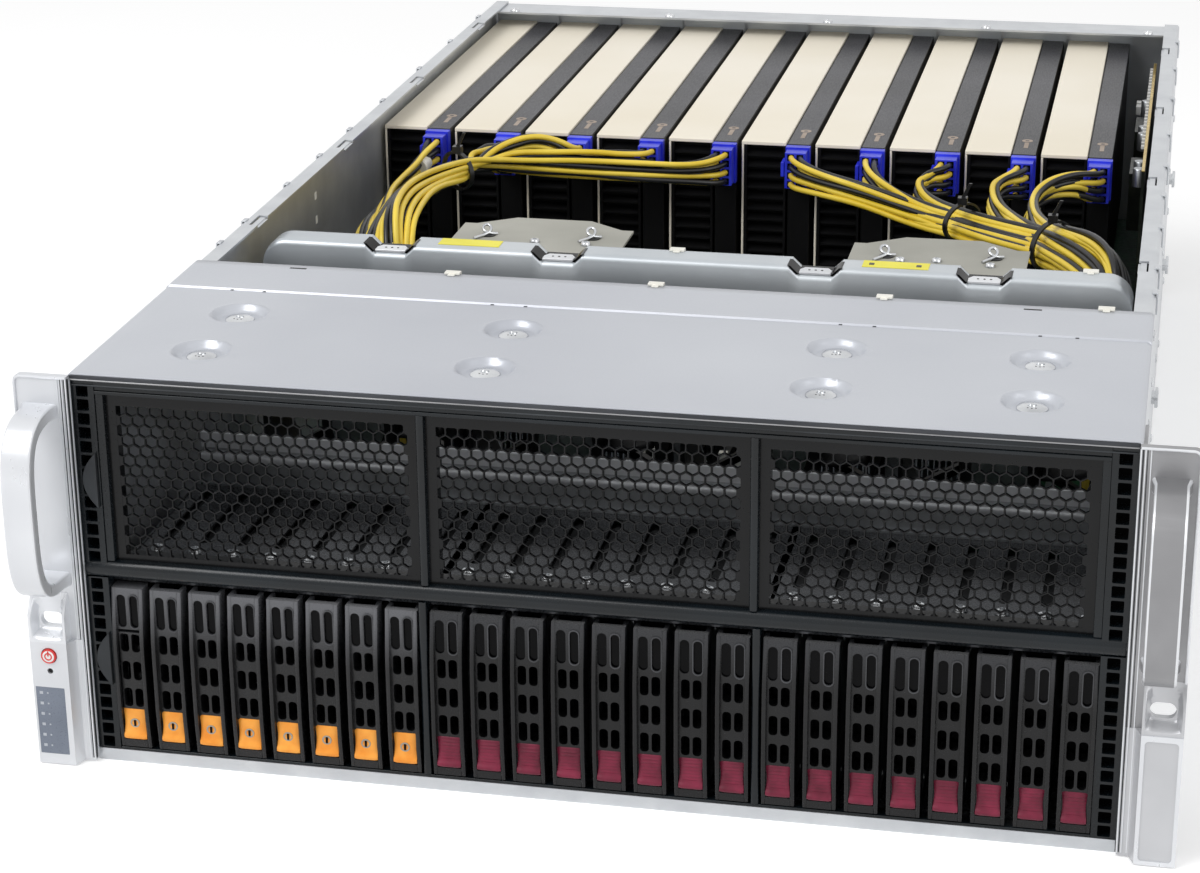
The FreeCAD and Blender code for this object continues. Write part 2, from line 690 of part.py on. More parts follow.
def cross_wall():
    """Fan bulkhead: upright sheet, top flange with four dipped finger notches, fan openings."""
    floor = WALL_TOP_Z - NOTCH_DEPTH
    dips = []
    for x in NOTCH_X:
        wide = around(x, NOTCH_W[0])
        narrow = around(x, NOTCH_W[1])
        dips += [(wide[0], WALL_TOP_Z), (narrow[0], floor), (narrow[1], floor), (wide[1], WALL_TOP_Z)]
    end = WALL_HALF_W - WALL_END_R
    crest = [(-end, WALL_TOP_Z)] + dips + [(end, WALL_TOP_Z)]
    under = [(u, v - SHEET) for u, v in reversed(crest)]
    flange = slab(crest + under, "xz", WALL_Y + SHEET, WALL_FLANGE)
    face = [(WALL_HALF_W, SHEET), (WALL_HALF_W, WALL_TOP_Z, WALL_END_R)] + dips[::-1]
    face += [(-WALL_HALF_W, WALL_TOP_Z, WALL_END_R), (-WALL_HALF_W, SHEET)]
    sheet = slab(face, "xz", WALL_Y, SHEET)
    openings = []
    for x in FAN_X:
        hole = chamfered(around(x, 2 * FAN_BORE_R), around(FAN_Z, 2 * FAN_BORE_R), FAN_OPENING_CORNER)
        openings.append(slab(hole, "xz", WALL_Y, SHEET))
    return joined([sheet.cut(openings), flange])


def fan_frame(x):
    """Square fan housing with a round bore, a motor cup and struts at the outlet side."""
    inlet_y = WALL_Y - FAN_D
    block = slab(chamfered(around(x, FAN_SIZE), around(FAN_Z, FAN_SIZE), FAN_CORNER), "xz", inlet_y, FAN_D)
    bore = slab(regular_polygon(x, FAN_Z, FAN_BORE_R, FAN_BORE_SIDES), "xz", inlet_y, FAN_D)
    cup = slab(regular_polygon(x, FAN_Z, CUP_R, CUP_SIDES), "xz", WALL_Y - CUP_D, CUP_D)
    reach = (x + CUP_R / 2, x + FAN_BORE_R)
    struts = []
    for i in range(FAN_STRUTS):
        strut = box(reach, (WALL_Y - STRUT_D, WALL_Y), around(FAN_Z, STRUT_W))
        struts.append(strut.rotated(vec(x, 0, FAN_Z), vec(0, 1, 0), i * 360 / FAN_STRUTS))
    return joined([block.cut(bore), cup] + struts)


def blade_section(radius, chord, pitch):
    """Corner points of a blade's cross section at one radius, blade pointing along +X."""
    lean = math.radians(pitch)
    along = (math.sin(lean) * chord / 2, math.cos(lean) * chord / 2)
    across = (math.cos(lean) * BLADE_T / 2, -math.sin(lean) * BLADE_T / 2)
    corners = ((-1, -1), (1, -1), (1, 1), (-1, 1))
    return [vec(radius, s * along[0] + t * across[0], s * along[1] + t * across[1]) for s, t in corners]


def fan_rotor(x):
    """Impeller: hub with twisted blades that flatten towards their tips."""
    hub_face = regular_polygon(0, 0, ROTOR_HUB_R, 2 * ROTOR_BLADES)
    hub = slab(hub_face, "xz", -ROTOR_HUB_D / 2, ROTOR_HUB_D)
    root, tip = [blade_section(*station) for station in zip(BLADE_R, BLADE_CHORD, BLADE_PITCH)]
    blade = solid_between(root, tip)
    blades = []
    for i in range(ROTOR_BLADES):
        blades.append(blade.rotated(vec(0, 0, 0), vec(0, 1, 0), i * 360 / ROTOR_BLADES))
    return joined([hub] + blades).translated(vec(x, ROTOR_MIDDLE_Y, FAN_Z))


def cable_shelf(x_span):
    """Grey plate behind the bulkhead, its rear edge sloping to a ledge at each side, with a lip on the wall."""
    left, right = x_span
    front = WALL_Y + SHEET
    rear = SHELF_REAR_Y
    ledge = rear - SHELF_CUT_Y
    plan = [(left, front), (right, front), (right, ledge), (right - SHELF_LEDGE_X, ledge),
            (right - SHELF_CUT_X, rear), (left + SHELF_CUT_X, rear), (left + SHELF_LEDGE_X, ledge), (left, ledge)]
    plate = slab(plan, "xy", SHELF_Z - SHEET, SHEET)
    lip = box(x_span, (front, front + SHEET), (SHELF_Z - SHELF_LIP, SHELF_Z - SHEET))
    return joined([plate, lip])


def memory_modules():
    """Memory modules standing on the main board, on both sides of each processor."""
    modules = []
    for cpu in (-CPU_X, CPU_X):
        for side in (-1, 1):
            for i in range(DIMMS_PER_SIDE):
                x = cpu + side * (DIMM_FIRST + i * DIMM_PITCH)
                modules.append(box(around(x, DIMM_T), DIMM_Y, (BOARD_TOP, DIMM_TOP_Z)))
    return modules


def rear_port(x):
    """Port block at the board's rear edge with a shallow mouth."""
    block = box(around(x, PORT_W), PORT_Y, (BOARD_TOP, PORT_TOP_Z))
    mouth_z = (BOARD_TOP + PORT_WALL, PORT_TOP_Z - PORT_WALL)
    return block.cut(box(around(x, PORT_W - 2 * PORT_WALL), (PORT_Y[1] - PORT_DEPTH, PORT_Y[1]), mouth_z))


def motherboard():
    """Board with a narrow tail to the rear ports, processor sockets and posts on the floor."""
    front, rear = BOARD_Y
    plan = [(-BOARD_HALF_W, front), (BOARD_HALF_W, front), (BOARD_HALF_W, rear), (BOARD_TAIL_HALF_W, rear),
            (BOARD_TAIL_HALF_W, BOARD_TAIL_Y), (-BOARD_TAIL_HALF_W, BOARD_TAIL_Y), (-BOARD_TAIL_HALF_W, rear),
            (-BOARD_HALF_W, rear)]
    pieces = [slab(plan, "xy", BOARD_Z, BOARD_T)]
    socket_y = around(sum(CPU_Y) / 2, SOCKET_W)
    pieces += [box(around(x, SOCKET_W), socket_y, (BOARD_TOP, SOCKET_TOP_Z)) for x in (-CPU_X, CPU_X)]
    pieces += [rear_port(x) for x in PORT_X]
    inset = BOARD_POST_INSET
    corners = [(BOARD_HALF_W - inset, front + inset), (BOARD_HALF_W - inset, rear - inset),
               (BOARD_TAIL_HALF_W - inset, BOARD_TAIL_Y - inset)]
    for x, y in corners:
        for side in (-1, 1):
            pieces.append(box(around(side * x, BOARD_POST), around(y, BOARD_POST), (SHEET, BOARD_Z)))
    return pieces


def cpu_heatsink(x):
    """Heatsink with a solid base and upright fins along the airflow."""
    base_top = SOCKET_TOP_Z + HEATSINK_BASE
    left = x - CPU_HALF_W
    pitch = (2 * CPU_HALF_W - FIN_T) / (FIN_COUNT - 1)
    comb = [(left, SOCKET_TOP_Z), (left + 2 * CPU_HALF_W, SOCKET_TOP_Z)]
    for i in reversed(range(FIN_COUNT)):
        fin = (left + i * pitch, left + i * pitch + FIN_T)
        if i < FIN_COUNT - 1:
            comb.append((fin[1], base_top))
        comb += [(fin[1], HEATSINK_TOP_Z), (fin[0], HEATSINK_TOP_Z)]
        if i > 0:
            comb.append((fin[0], base_top))
    return slab(comb, "xz", CPU_Y[0], CPU_Y[1] - CPU_Y[0])


def power_board():
    """Left power board: wide front end for the loom, wide rear end with supply sockets, floor posts."""
    outer, inner = POWER_BOARD_X
    front, front_end = POWER_BOARD_FRONT
    rear_start, rear = POWER_BOARD_REAR
    plan = [(outer, front), (POWER_BOARD_FRONT_X, front), (POWER_BOARD_FRONT_X, front_end),
            (inner, front_end), (inner, rear_start), (POWER_BOARD_REAR_X, rear_start),
            (POWER_BOARD_REAR_X, rear), (outer, rear)]
    low, top = POWER_BOARD_Z
    pieces = [slab(plan, "xy", low, top - low)]
    inset = POWER_POST_INSET
    for y, far_x in ((front + inset, POWER_BOARD_FRONT_X), (rear - inset, POWER_BOARD_REAR_X)):
        for x in (outer + inset, far_x - inset):
            pieces.append(box(around(x, POWER_POST), around(y, POWER_POST), (SHEET, low)))
    for x in psu_centres()[:2]:
        socket_y = (rear - SUPPLY_SOCKET_D, rear)
        pieces.append(box(around(x, SUPPLY_SOCKET_W), socket_y, (top, SUPPLY_SOCKET_TOP_Z)))
    return pieces


def loom_header(route):
    """Power header that the end of a loom stands on."""
    x, y = route[-1]
    return box(around(x, HEADER_W), around(y, HEADER_W), (POWER_BOARD_Z[1], HEADER_TOP_Z))


def card_left(index):
    """Left edge of a card."""
    return CARD_FIRST_X + index * CARD_PITCH


def gpu_board():
    """Switch board under the cards with one long slot per card, on posts over the supply bays."""
    low, top = GPU_BOARD_Z
    pieces = [box((-GPU_BOARD_HALF_W, GPU_BOARD_HALF_W), GPU_BOARD_Y, GPU_BOARD_Z)]
    for i in range(CARD_COUNT):
        pieces.append(box(around(card_left(i) + SLOT_X, SLOT_W), SLOT_Y, (top, SLOT_TOP_Z)))
    for x in GPU_POST_X:
        for y in GPU_POST_Y:
            pieces.append(box(around(x, GPU_POST), around(y, GPU_POST), (PSU_BAY_Z[1], low)))
    return pieces


def gpu_card(index):
    """Double-width card: shroud, lower side strip, finned air mouth, edge finger and rear bracket."""
    left = card_left(index)
    shroud = left + CARD_SHROUD_W
    right = shroud + CARD_STRIP_W
    low, high = CARD_Z
    strip_z = high - CARD_STRIP_DROP
    groove_z = high - CARD_GROOVE_DEPTH
    section = [(left, low), (right, low), (right, strip_z), (shroud + CARD_GROOVE_W, strip_z),
               (shroud + CARD_GROOVE_W, groove_z), (shroud, groove_z), (shroud, high), (left, high)]
    body = slab(section, "xz", CARD_Y[0], CARD_Y[1] - CARD_Y[0])
    pitch = (MOUTH_Z[1] - MOUTH_Z[0]) / MOUTH_GAPS
    mouth_y = (CARD_Y[0], CARD_Y[0] + MOUTH_D)
    gaps = []
    for i in range(MOUTH_GAPS):
        z = MOUTH_Z[0] + i * pitch
        gaps.append(box((left + MOUTH_SIDE, shroud - MOUTH_SIDE), mouth_y, (z, z + pitch - MOUTH_FIN_T)))
    finger_y = (SLOT_Y[0] + FINGER_INSET, SLOT_Y[1] - FINGER_INSET)
    finger = box((left + FINGER_X[0], left + FINGER_X[1]), finger_y, (SLOT_TOP_Z, low))
    bracket_y = (CARD_Y[1], CARD_Y[1] + BRACKET_T)
    bracket = box((left + BRACKET_X[0], left + BRACKET_X[1]), bracket_y, BRACKET_Z)
    return [body.cut(gaps), finger, bracket]


def gpu_plug(index):
    """Eight-way power plug on a card's front end, with a collar at its seat."""
    x = card_left(index) + PLUG_X
    body = box(around(x, PLUG_W), PLUG_Y, PLUG_Z)
    rim = PLUG_COLLAR
    collar_y = (PLUG_Y[1] - PLUG_COLLAR_D, PLUG_Y[1])
    collar = box(around(x, PLUG_W + 2 * rim), collar_y, (PLUG_Z[0] - rim, PLUG_Z[1] + rim))
    return joined([body, collar])


def loom_path(points, bends):
    """Wire of straight runs joined by tangent arcs, one bend radius per inner corner."""
    edges = []
    last = points[0]
    for i, radius in enumerate(bends):
        start, middle, end = rounded_corner(points[i], points[i + 1], points[i + 2], radius)
        edges.append(Part.LineSegment(last, start).toShape())
        edges.append(Part.Arc(start, middle, end).toShape())
        last = end
    edges.append(Part.LineSegment(last, points[-1]).toShape())
    return Part.Wire(edges)


def loom_run(points, bends):
    """Flat bundle of wires along a route that leaves a plug straight to the front."""
    start = points[0]
    section = outline(rectangle(around(start.x, LOOM_W), around(start.z, LOOM_H)), "xz", start.y)
    path = loom_path(points, bends)
    run = path.makePipeShell([section], True, False)
    print("loom run: volume over section times length %.3f" % (run.Volume / (LOOM_W * LOOM_H * path.Length)))
    return run


def loom_spur(start, end):
    """Short straight bundle from a plug into the main run."""
    section = outline(rectangle(around(start[0], SPUR_W), around(LOOM_Z, SPUR_H)), "xz", start[1])
    return Part.Face(section).extrude(vec(end[0] - start[0], end[1] - start[1], 0))


def power_loom(route, spurs):
    """One side's loom: the main run and its drop to the power board, and a spur from each other plug."""
    points = [vec(x, y, LOOM_Z) for x, y in route]
    points.append(vec(points[-1].x, points[-1].y, HEADER_TOP_Z))
    return joined([loom_run(points, LOOM_BENDS)] + [loom_spur(*spur) for spur in spurs])


def riser_board():
    """Upright board beside the last card, with two edge connectors."""
    pieces = [box(RISER_X, RISER_Y, (GPU_BOARD_Z[1], RISER_TOP_Z))]
    for y in RISER_SOCKET_Y:
        x_span = (RISER_X[0] - RISER_SOCKET_D, RISER_X[0])
        pieces.append(box(x_span, around(y, RISER_SOCKET_L), RISER_SOCKET_Z))
    return pieces


def psu_centres():
    """Middle of each power supply, from left to right."""
    first = -PSU_BAY_X + PSU_BAY_WALL + PSU_BAY_W / 2
    second = first + PSU_BAY_W + PSU_BAY_WALL
    return [first, second, -second, -first]


def psu_passage(x, y_span):
    """Clear space that a supply slides through."""
    return box(around(x, PSU_BAY_W), y_span, (PSU_BAY_Z[0] + PSU_BAY_WALL, PSU_BAY_Z[1] - PSU_BAY_WALL))


def psu_bay():
    """Left sheet cage with two side-by-side supply bays."""
    width = 2 * PSU_BAY_W + 3 * PSU_BAY_WALL
    cage = box((-PSU_BAY_X, -PSU_BAY_X + width), PSU_BAY_Y, PSU_BAY_Z)
    return cage.cut([psu_passage(x, PSU_BAY_Y) for x in psu_centres()[:2]])


def power_supply(x):
    """Slide-in supply: case, card edge at the inner end, sunk mains inlet and a pull handle."""
    rear = PSU_Y[1]
    case = box(around(x, PSU_W), PSU_Y, PSU_Z)
    edge = box(around(x, PSU_EDGE_W), (PSU_Y[0] - PSU_EDGE_D, PSU_Y[0]), PSU_EDGE_Z)
    inlet = box(around(x + INLET_X, INLET_W), (rear - INLET_D, rear), around(INLET_Z, INLET_H))
    left = x + PULL_X[0]
    right = x + PULL_X[1]
    inner_y = PULL_Y - PULL_BAR
    plan = [(left, rear), (left, PULL_Y, PULL_R), (right, PULL_Y, PULL_R), (right, rear),
            (right - PULL_BAR, rear), (right - PULL_BAR, inner_y),
            (left + PULL_BAR, inner_y), (left + PULL_BAR, rear)]
    pull = slab(plan, "xy", PULL_Z[0], PULL_Z[1] - PULL_Z[0])
    return joined([case.cut(inlet), edge, pull])


def rear_panel():
    """Rear wall with passages for the supplies, a port window, card windows and a top flange."""
    half = HALF_W - SHEET - GAP
    y_span = (CHASSIS_D - SHEET, CHASSIS_D)
    top = TRAY_H - SHEET - GAP
    sheet = box((-half, half), y_span, (SHEET, top))
    flange = box((-half, half), (y_span[0] - REAR_FLANGE, y_span[0]), (top - SHEET, top))
    cuts = [psu_passage(x, y_span) for x in psu_centres()]
    port_half = BOARD_TAIL_HALF_W - PORT_WINDOW_MARGIN
    cuts.append(box((-port_half, port_half), y_span, (BOARD_Z, PORT_TOP_Z + PORT_WINDOW_MARGIN)))
    for i in range(CARD_COUNT):
        left = card_left(i) + CARD_WINDOW_INSET
        right = card_left(i) + CARD_SHROUD_W + CARD_STRIP_W - CARD_WINDOW_INSET
        cuts.append(box((left, right), y_span, CARD_WINDOW_Z))
    return joined([sheet, flange]).cut(cuts)


def export_front():
    """Nodes in front of the fan bulkhead."""
    export("front_top_cover", [front_top_cover()])
    export("front_frame", [front_frame()])
    export("intake_grilles", [intake_grille(x) for x in window_centres()])
    export("left_ear", [mirrored(rack_ear(control_holes()))])
    export("right_ear", [rack_ear([])])
    export("front_handles", [front_handle(), mirrored(front_handle())])
    export("status_window", [box(STATUS_X, (EAR_PANEL_Y, EAR_PANEL_Y + STATUS_T), STATUS_Z)])
    export("power_button", [round_button(POWER_BUTTON, POWER_BUTTON_R, POWER_BUTTON_Y)])
    export("reset_button", [round_button(RESET_BUTTON, RESET_BUTTON_R, RESET_BUTTON_Y)])
    centres = carrier_centres()
    export("drive_carrier_01", moved_x(open_carrier(), centres[0]))
    export("carrier_01_lever", moved_x([ejector_lever()], centres[0]))
    export("carrier_01_button", moved_x([release_catch(POCKET_Y + CATCH_STEM)], centres[0]))
    closed = closed_carrier()
    for i, x in enumerate(centres[1:]):
        export("drive_carrier_%02d" % (i + 2), moved_x(closed, x))
    export("drive_cage", [drive_cage()])
    export("drive_backplane", drive_backplane())


def export_middle():
    """Nodes from the fan bulkhead to the power headers."""
    export("cross_wall", [cross_wall()])
    export("fan_frames", [fan_frame(x) for x in FAN_X])
    for i, x in enumerate(FAN_X):
        export("fan_rotor_%d" % (i + 1), [fan_rotor(x)])
    export("cable_shelves", [cable_shelf(span) for span in SHELF_X])
    export("motherboard", motherboard())
    export("cpu_heatsinks", [cpu_heatsink(x) for x in (-CPU_X, CPU_X)])
    export("memory_modules", memory_modules())
    boards = power_board() + [mirrored(piece) for piece in power_board()]
    export("power_boards", boards + [loom_header(LOOM_LEFT_ROUTE), loom_header(LOOM_RIGHT_ROUTE)])


def export_rear():
    """Nodes of the card bay and the power supplies."""
    export("gpu_board", gpu_board())
    export("gpu_cards", [piece for i in range(CARD_COUNT) for piece in gpu_card(i)])
    export("gpu_power_plugs", [gpu_plug(i) for i in range(CARD_COUNT)])
    looms = [power_loom(LOOM_LEFT_ROUTE, LOOM_LEFT_SPURS), power_loom(LOOM_RIGHT_ROUTE, LOOM_RIGHT_SPURS)]
    export("gpu_power_looms", looms)
    export("riser_board", riser_board())
    export("psu_bays", [psu_bay(), mirrored(psu_bay())])
    for i, x in enumerate(psu_centres()):
        export("psu_%d" % (i + 1), [power_supply(x)])


def main():
    os.makedirs("parts", exist_ok=True)
    export("chassis_tray", [chassis_tray()])
    export("rear_panel", [rear_panel()])
    export_front()
    export_middle()
    export_rear()


main()
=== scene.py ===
import math

import bpy
import numpy as np
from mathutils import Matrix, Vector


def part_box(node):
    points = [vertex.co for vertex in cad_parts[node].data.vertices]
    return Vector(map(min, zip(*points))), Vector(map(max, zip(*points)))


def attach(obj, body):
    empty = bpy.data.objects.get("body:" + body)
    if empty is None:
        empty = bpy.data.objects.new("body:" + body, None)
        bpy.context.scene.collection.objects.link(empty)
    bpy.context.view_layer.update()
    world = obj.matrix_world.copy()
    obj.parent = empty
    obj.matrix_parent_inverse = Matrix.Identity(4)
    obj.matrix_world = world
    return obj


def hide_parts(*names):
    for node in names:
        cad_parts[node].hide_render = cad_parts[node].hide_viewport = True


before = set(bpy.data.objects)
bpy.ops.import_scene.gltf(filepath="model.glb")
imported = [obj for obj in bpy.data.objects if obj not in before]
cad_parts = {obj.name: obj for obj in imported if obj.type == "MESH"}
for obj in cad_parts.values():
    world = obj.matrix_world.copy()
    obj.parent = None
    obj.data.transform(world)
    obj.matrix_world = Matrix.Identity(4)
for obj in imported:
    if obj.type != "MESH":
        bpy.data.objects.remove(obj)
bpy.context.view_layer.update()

# Millimetres, measured from the chassis front plane, x to the right and z up from the floor.
MM = 0.001
FRONT_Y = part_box("chassis_tray")[0].y
HALF_W = 218.5
TOP_Z = 177.8
COVER_D = 157.0
SEAM_Y = 119.0
DIMPLE_D = 3.0
DIMPLE_X = (-173.0, -50.0, 89.5, 174.0)
DIMPLE_Y = (37.0, 87.0)
WINDOW_X = (-137.0, 0.0, 137.0)
WINDOW_Z = (94, 169)
BAY_Z = (6.8, 86.5)
BAR_BACK = 7.0
BAY_PITCH = 17.23
BAY_X = [g * 139.8 + (i - 3.5) * BAY_PITCH for g in (-1, 0, 1) for i in range(8)]
CAGE_Y = (8.4, 116)
CAGE_LOW = 5.7
CAGE_TOP = 83.4
CARRIER_TOP = 81.5
CARRIER_LOW = 7.3
CARRIER_HALF = 6.9
FACE_HALF = 5.2
FACE_Y = 1.55
BEZEL_BACK = 9.0
LEVER_HEAD = 19.8
LEVER_FOOT = 56.7
EAR_IN = 217.7
EAR_STEP = 224.8
EAR_OUT = 241.3
PANEL_TOP = 58.0
SCOOP_TOP = 79.5
CARD_X = [-214.4 + 40.64 * i for i in range(10)]
CARD_Y = (460, 734.2)
BRACKET_Y = (734.2, 735.2)
PLUG_SHIFT = 31.6
PLUG_Z = 145.4
WALL_Y = 222.0
WALL_TOP = 170.0
FLANGE_D = 15.2
SHELF_Z = 162.0
NOTCH_X = (-144.0, -61.5, 61.5, 140.0)
FAN_X = (-153.0, -51.0, 51.0, 153.0)
FAN_Z = 88.0
FAN_BORE = 44
SUPPLY_X = (-178.1, -102.1, 102.1, 178.1)
SINK_X = (-84.0, 84.0)

UP = (0, 0, 1)
SIDES = (-1, 1)
BOX_FACES = np.array([[0, 1, 3, 2], [4, 6, 7, 5], [0, 4, 5, 1], [2, 3, 7, 6], [0, 2, 6, 4], [1, 5, 7, 3]])
BOX_CORNERS = np.array([[i >> 2 & 1, i >> 1 & 1, i & 1] for i in range(8)])
CORNER_X = np.array([1, 0, 0, 1])
CORNER_Z = np.array([1, 1, 0, 0])


def placed(points):
    """Millimetres from the chassis front plane, moved into the shared frame in metres."""
    return np.asarray(points, float).reshape(-1, 3) * MM + (0.0, FRONT_Y, 0.0)


def grid_faces(rows, columns, closed_rows=False, closed_columns=False):
    """Four-sided faces between neighbours of a grid; a closed way joins its last line to its first."""
    r = np.arange(rows if closed_rows else rows - 1)
    c = np.arange(columns if closed_columns else columns - 1)
    r, c = [part.ravel() for part in np.meshgrid(r, c, indexing="ij")]
    below = (r + 1) % rows
    beside = (c + 1) % columns
    return np.stack([r * columns + c, r * columns + beside, below * columns + beside, below * columns + c], 1)


def end_caps(rows, columns):
    """Faces that close the first and the last row of a grid."""
    return np.stack([np.arange(columns)[::-1], (rows - 1) * columns + np.arange(columns)])


def tube(points, mark=0):
    """Rows of points, each row a closed loop, joined along and closed at both ends."""
    rows, columns = points.shape[:2]
    return points, [grid_faces(rows, columns, closed_columns=True), end_caps(rows, columns)], mark


def repeated(faces, count, size):
    """The faces of one shape, numbered on for each of its copies of so many points."""
    return (faces[None] + size * np.arange(count)[:, None, None]).reshape(-1, faces.shape[1])


def piece(name, finishes, surfaces, stands_for=(), body="chassis", bevel=0.0, sharp=38.0, thick=0.0):
    """One object from surfaces of (points, face arrays, finish number); edges past the angle stay crisp."""
    points = []
    faces = []
    marks = []
    first = 0
    for surface in surfaces:
        spots = np.asarray(surface[0], float).reshape(-1, 3)
        points.append(spots)
        for group in surface[1]:
            faces += (np.asarray(group) + first).tolist()
            marks += [surface[2] if len(surface) > 2 else 0] * len(group)
        first += len(spots)
    mesh = bpy.data.meshes.new(name)
    mesh.from_pydata(placed(np.concatenate(points)).tolist(), [], faces)
    mesh.polygons.foreach_set("material_index", marks)
    mesh.polygons.foreach_set("use_smooth", [True] * len(faces))
    mesh.update()
    mesh.set_sharp_from_angle(angle=math.radians(sharp))
    made = bpy.data.objects.new(name, mesh)
    bpy.context.scene.collection.objects.link(made)
    for material in finishes if isinstance(finishes, list) else [finishes]:
        mesh.materials.append(material)
    if thick:
        wall = made.modifiers.new("sheet", "SOLIDIFY")
        wall.thickness = thick * MM
        wall.offset = -1.0
    if bevel:
        edge = made.modifiers.new("edges", "BEVEL")
        edge.width = bevel * MM
        edge.segments = 2
        edge.limit_method = "ANGLE"
        edge.angle_limit = math.radians(50.0)
        edge.harden_normals = True
    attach(made, body)
    if stands_for:
        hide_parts(*stands_for)


def blocks(x_spans, y_spans, z_spans, mark=0):
    """Boxes between limits on each axis; an axis with one pair of limits serves every box."""
    limits = [np.atleast_2d(np.asarray(s, float)) for s in (x_spans, y_spans, z_spans)]
    count = max(len(s) for s in limits)
    limits = np.stack([np.broadcast_to(s, (count, 2)) for s in limits], 1)
    return limits[:, np.arange(3), BOX_CORNERS], [repeated(BOX_FACES, count, 8)], mark


def spans(starts, first, last):
    """Limits at two distances from each start."""
    starts = np.asarray(starts, float)
    return np.stack([starts + first, starts + last], -1)


def around(centres, width):
    """Limits of spans of one width about their centres."""
    return spans(centres, -width / 2, width / 2)


def prism(loop, span, plane, mark=0):
    """Flat outline given a thickness: a wall of four-sided faces round it and a cap on each end."""
    loop = np.asarray(loop, float)
    following = np.roll(loop, -1, 0)
    area = np.sum(loop[:, 0] * following[:, 1] - loop[:, 1] * following[:, 0])
    if (area < 0) != (plane == "xz"):
        loop = loop[::-1]
    first, second, third = {"xy": (0, 1, 2), "xz": (0, 2, 1), "yz": (1, 2, 0)}[plane]
    points = np.zeros((2, len(loop), 3))
    points[:, :, first] = loop[:, 0]
    points[:, :, second] = loop[:, 1]
    points[:, :, third] = np.array(span)[:, None]
    return tube(points, mark)


def swept(profile, centres, across, up, mark=0, ring=False, scale=1.0):
    """Closed profile carried along a path: each centre plus the scaled profile along two directions."""
    profile = np.asarray(profile, float)
    across = np.broadcast_to(np.asarray(across, float), centres.shape)
    up = np.broadcast_to(np.asarray(up, float), centres.shape)
    size = np.broadcast_to(np.asarray(scale, float), centres.shape[:1])[:, None, None]
    shape = profile[None, :, :1] * across[:, None] + profile[None, :, 1:] * up[:, None]
    points = centres[:, None] + size * shape
    if ring:
        return points, [grid_faces(*points.shape[:2], True, True)], mark
    return tube(points, mark)


def turned(profile, centres, axis, sides=16, mark=0):
    """Profile of (radius, height) carried round an axis through each centre, rim inwards, then capped."""
    profile = np.asarray(profile, float)
    centres = np.atleast_2d(np.asarray(centres, float))
    axis = np.asarray(axis, float)
    first = np.array([axis[1], axis[2], axis[0]])
    second = np.cross(axis, first)
    angle = np.linspace(0, 2 * np.pi, sides, endpoint=False)
    spoke = np.cos(angle)[:, None] * first + np.sin(angle)[:, None] * second
    shape = profile[:, 0, None, None] * spoke + profile[:, 1, None, None] * axis
    rows = len(profile)
    groups = [grid_faces(rows, sides, closed_columns=True), end_caps(rows, sides)]
    return centres[:, None, None] + shape, [repeated(g, len(centres), rows * sides) for g in groups], mark


def heading(points):
    """Unit direction of travel at each point of a line."""
    along = np.gradient(points, axis=-2)
    return along / np.linalg.norm(along, axis=-1, keepdims=True)


def arch(power, count):
    """Half a superellipse, end to end: reach outwards and swing along, both raised to two over the power."""
    turn = np.linspace(-np.pi / 2, np.pi / 2, count)
    reach = np.abs(np.cos(turn)) ** (2 / power)
    swing = np.sign(np.sin(turn)) * np.abs(np.sin(turn)) ** (2 / power)
    return reach, swing


def rounded_loop(limits, radius, steps=5):
    """Points round a rectangle (x0, x1, z0, z1) with round corners, with the corner arcs' centres."""
    limits = np.atleast_2d(np.asarray(limits, float))
    angle = np.pi / 2 * np.arange(4)[:, None] + np.linspace(0, np.pi / 2, steps)
    centre_x = limits[:, CORNER_X] - (2 * CORNER_X - 1) * radius
    centre_z = limits[:, 2 + CORNER_Z] - (2 * CORNER_Z - 1) * radius
    x = centre_x[:, :, None] + radius * np.cos(angle)
    z = centre_z[:, :, None] + radius * np.sin(angle)
    return np.stack([x, z], -1).reshape(len(limits), -1, 2), (centre_x, centre_z, angle)


def square_loop(cells, arcs):
    """Points on a rectangle's edge, one straight out from each point of a rounded loop inside it."""
    cells = np.atleast_2d(np.asarray(cells, float))
    centre_x, centre_z, angle = arcs
    edge_x = cells[:, CORNER_X][:, :, None]
    edge_z = cells[:, 2 + CORNER_Z][:, :, None]
    run = np.abs(np.cos(angle))
    rise = np.abs(np.sin(angle))
    far_x = np.minimum(1, run / np.maximum(rise, 1e-9))
    far_z = np.minimum(1, rise / np.maximum(run, 1e-9))
    x = centre_x[:, :, None] + (edge_x - centre_x[:, :, None]) * far_x
    z = centre_z[:, :, None] + (edge_z - centre_z[:, :, None]) * far_z
    return np.stack([x, z], -1).reshape(len(cells), -1, 2)


def stacked(loops, depths, mark=0):
    """Loops of (x, z) points, each at its own depth, joined one after the other and the last to the first."""
    count, columns = loops[0].shape[:2]
    rows = len(loops)
    points = np.zeros((count, rows, columns, 3))
    for row, (loop, depth) in enumerate(zip(loops, depths)):
        points[:, row, :, 0] = loop[..., 0]
        points[:, row, :, 1] = depth
        points[:, row, :, 2] = loop[..., 1]
    return points, [repeated(grid_faces(rows, columns, True, True), count, rows * columns)], mark


def welded(*surfaces):
    """Surfaces joined where their points meet, without the walls that two neighbouring cells share."""
    points = np.concatenate([np.reshape(surface[0], (-1, 3)) for surface in surfaces])
    spots, index = np.unique(np.round(points, 4) + 0.0, axis=0, return_inverse=True)
    index = index.reshape(-1)
    walls = []
    caps = []
    first = 0
    for surface in surfaces:
        for group in surface[1]:
            moved = index[np.asarray(group) + first]
            (walls if moved.shape[1] == 4 else caps).append(moved)
        first += np.size(surface[0]) // 3
    walls = np.concatenate(walls)
    twin, count = np.unique(np.sort(walls, axis=1), axis=0, return_inverse=True, return_counts=True)[1:]
    return spots, [walls[count[twin.reshape(-1)] == 1]] + caps, surfaces[0][2]


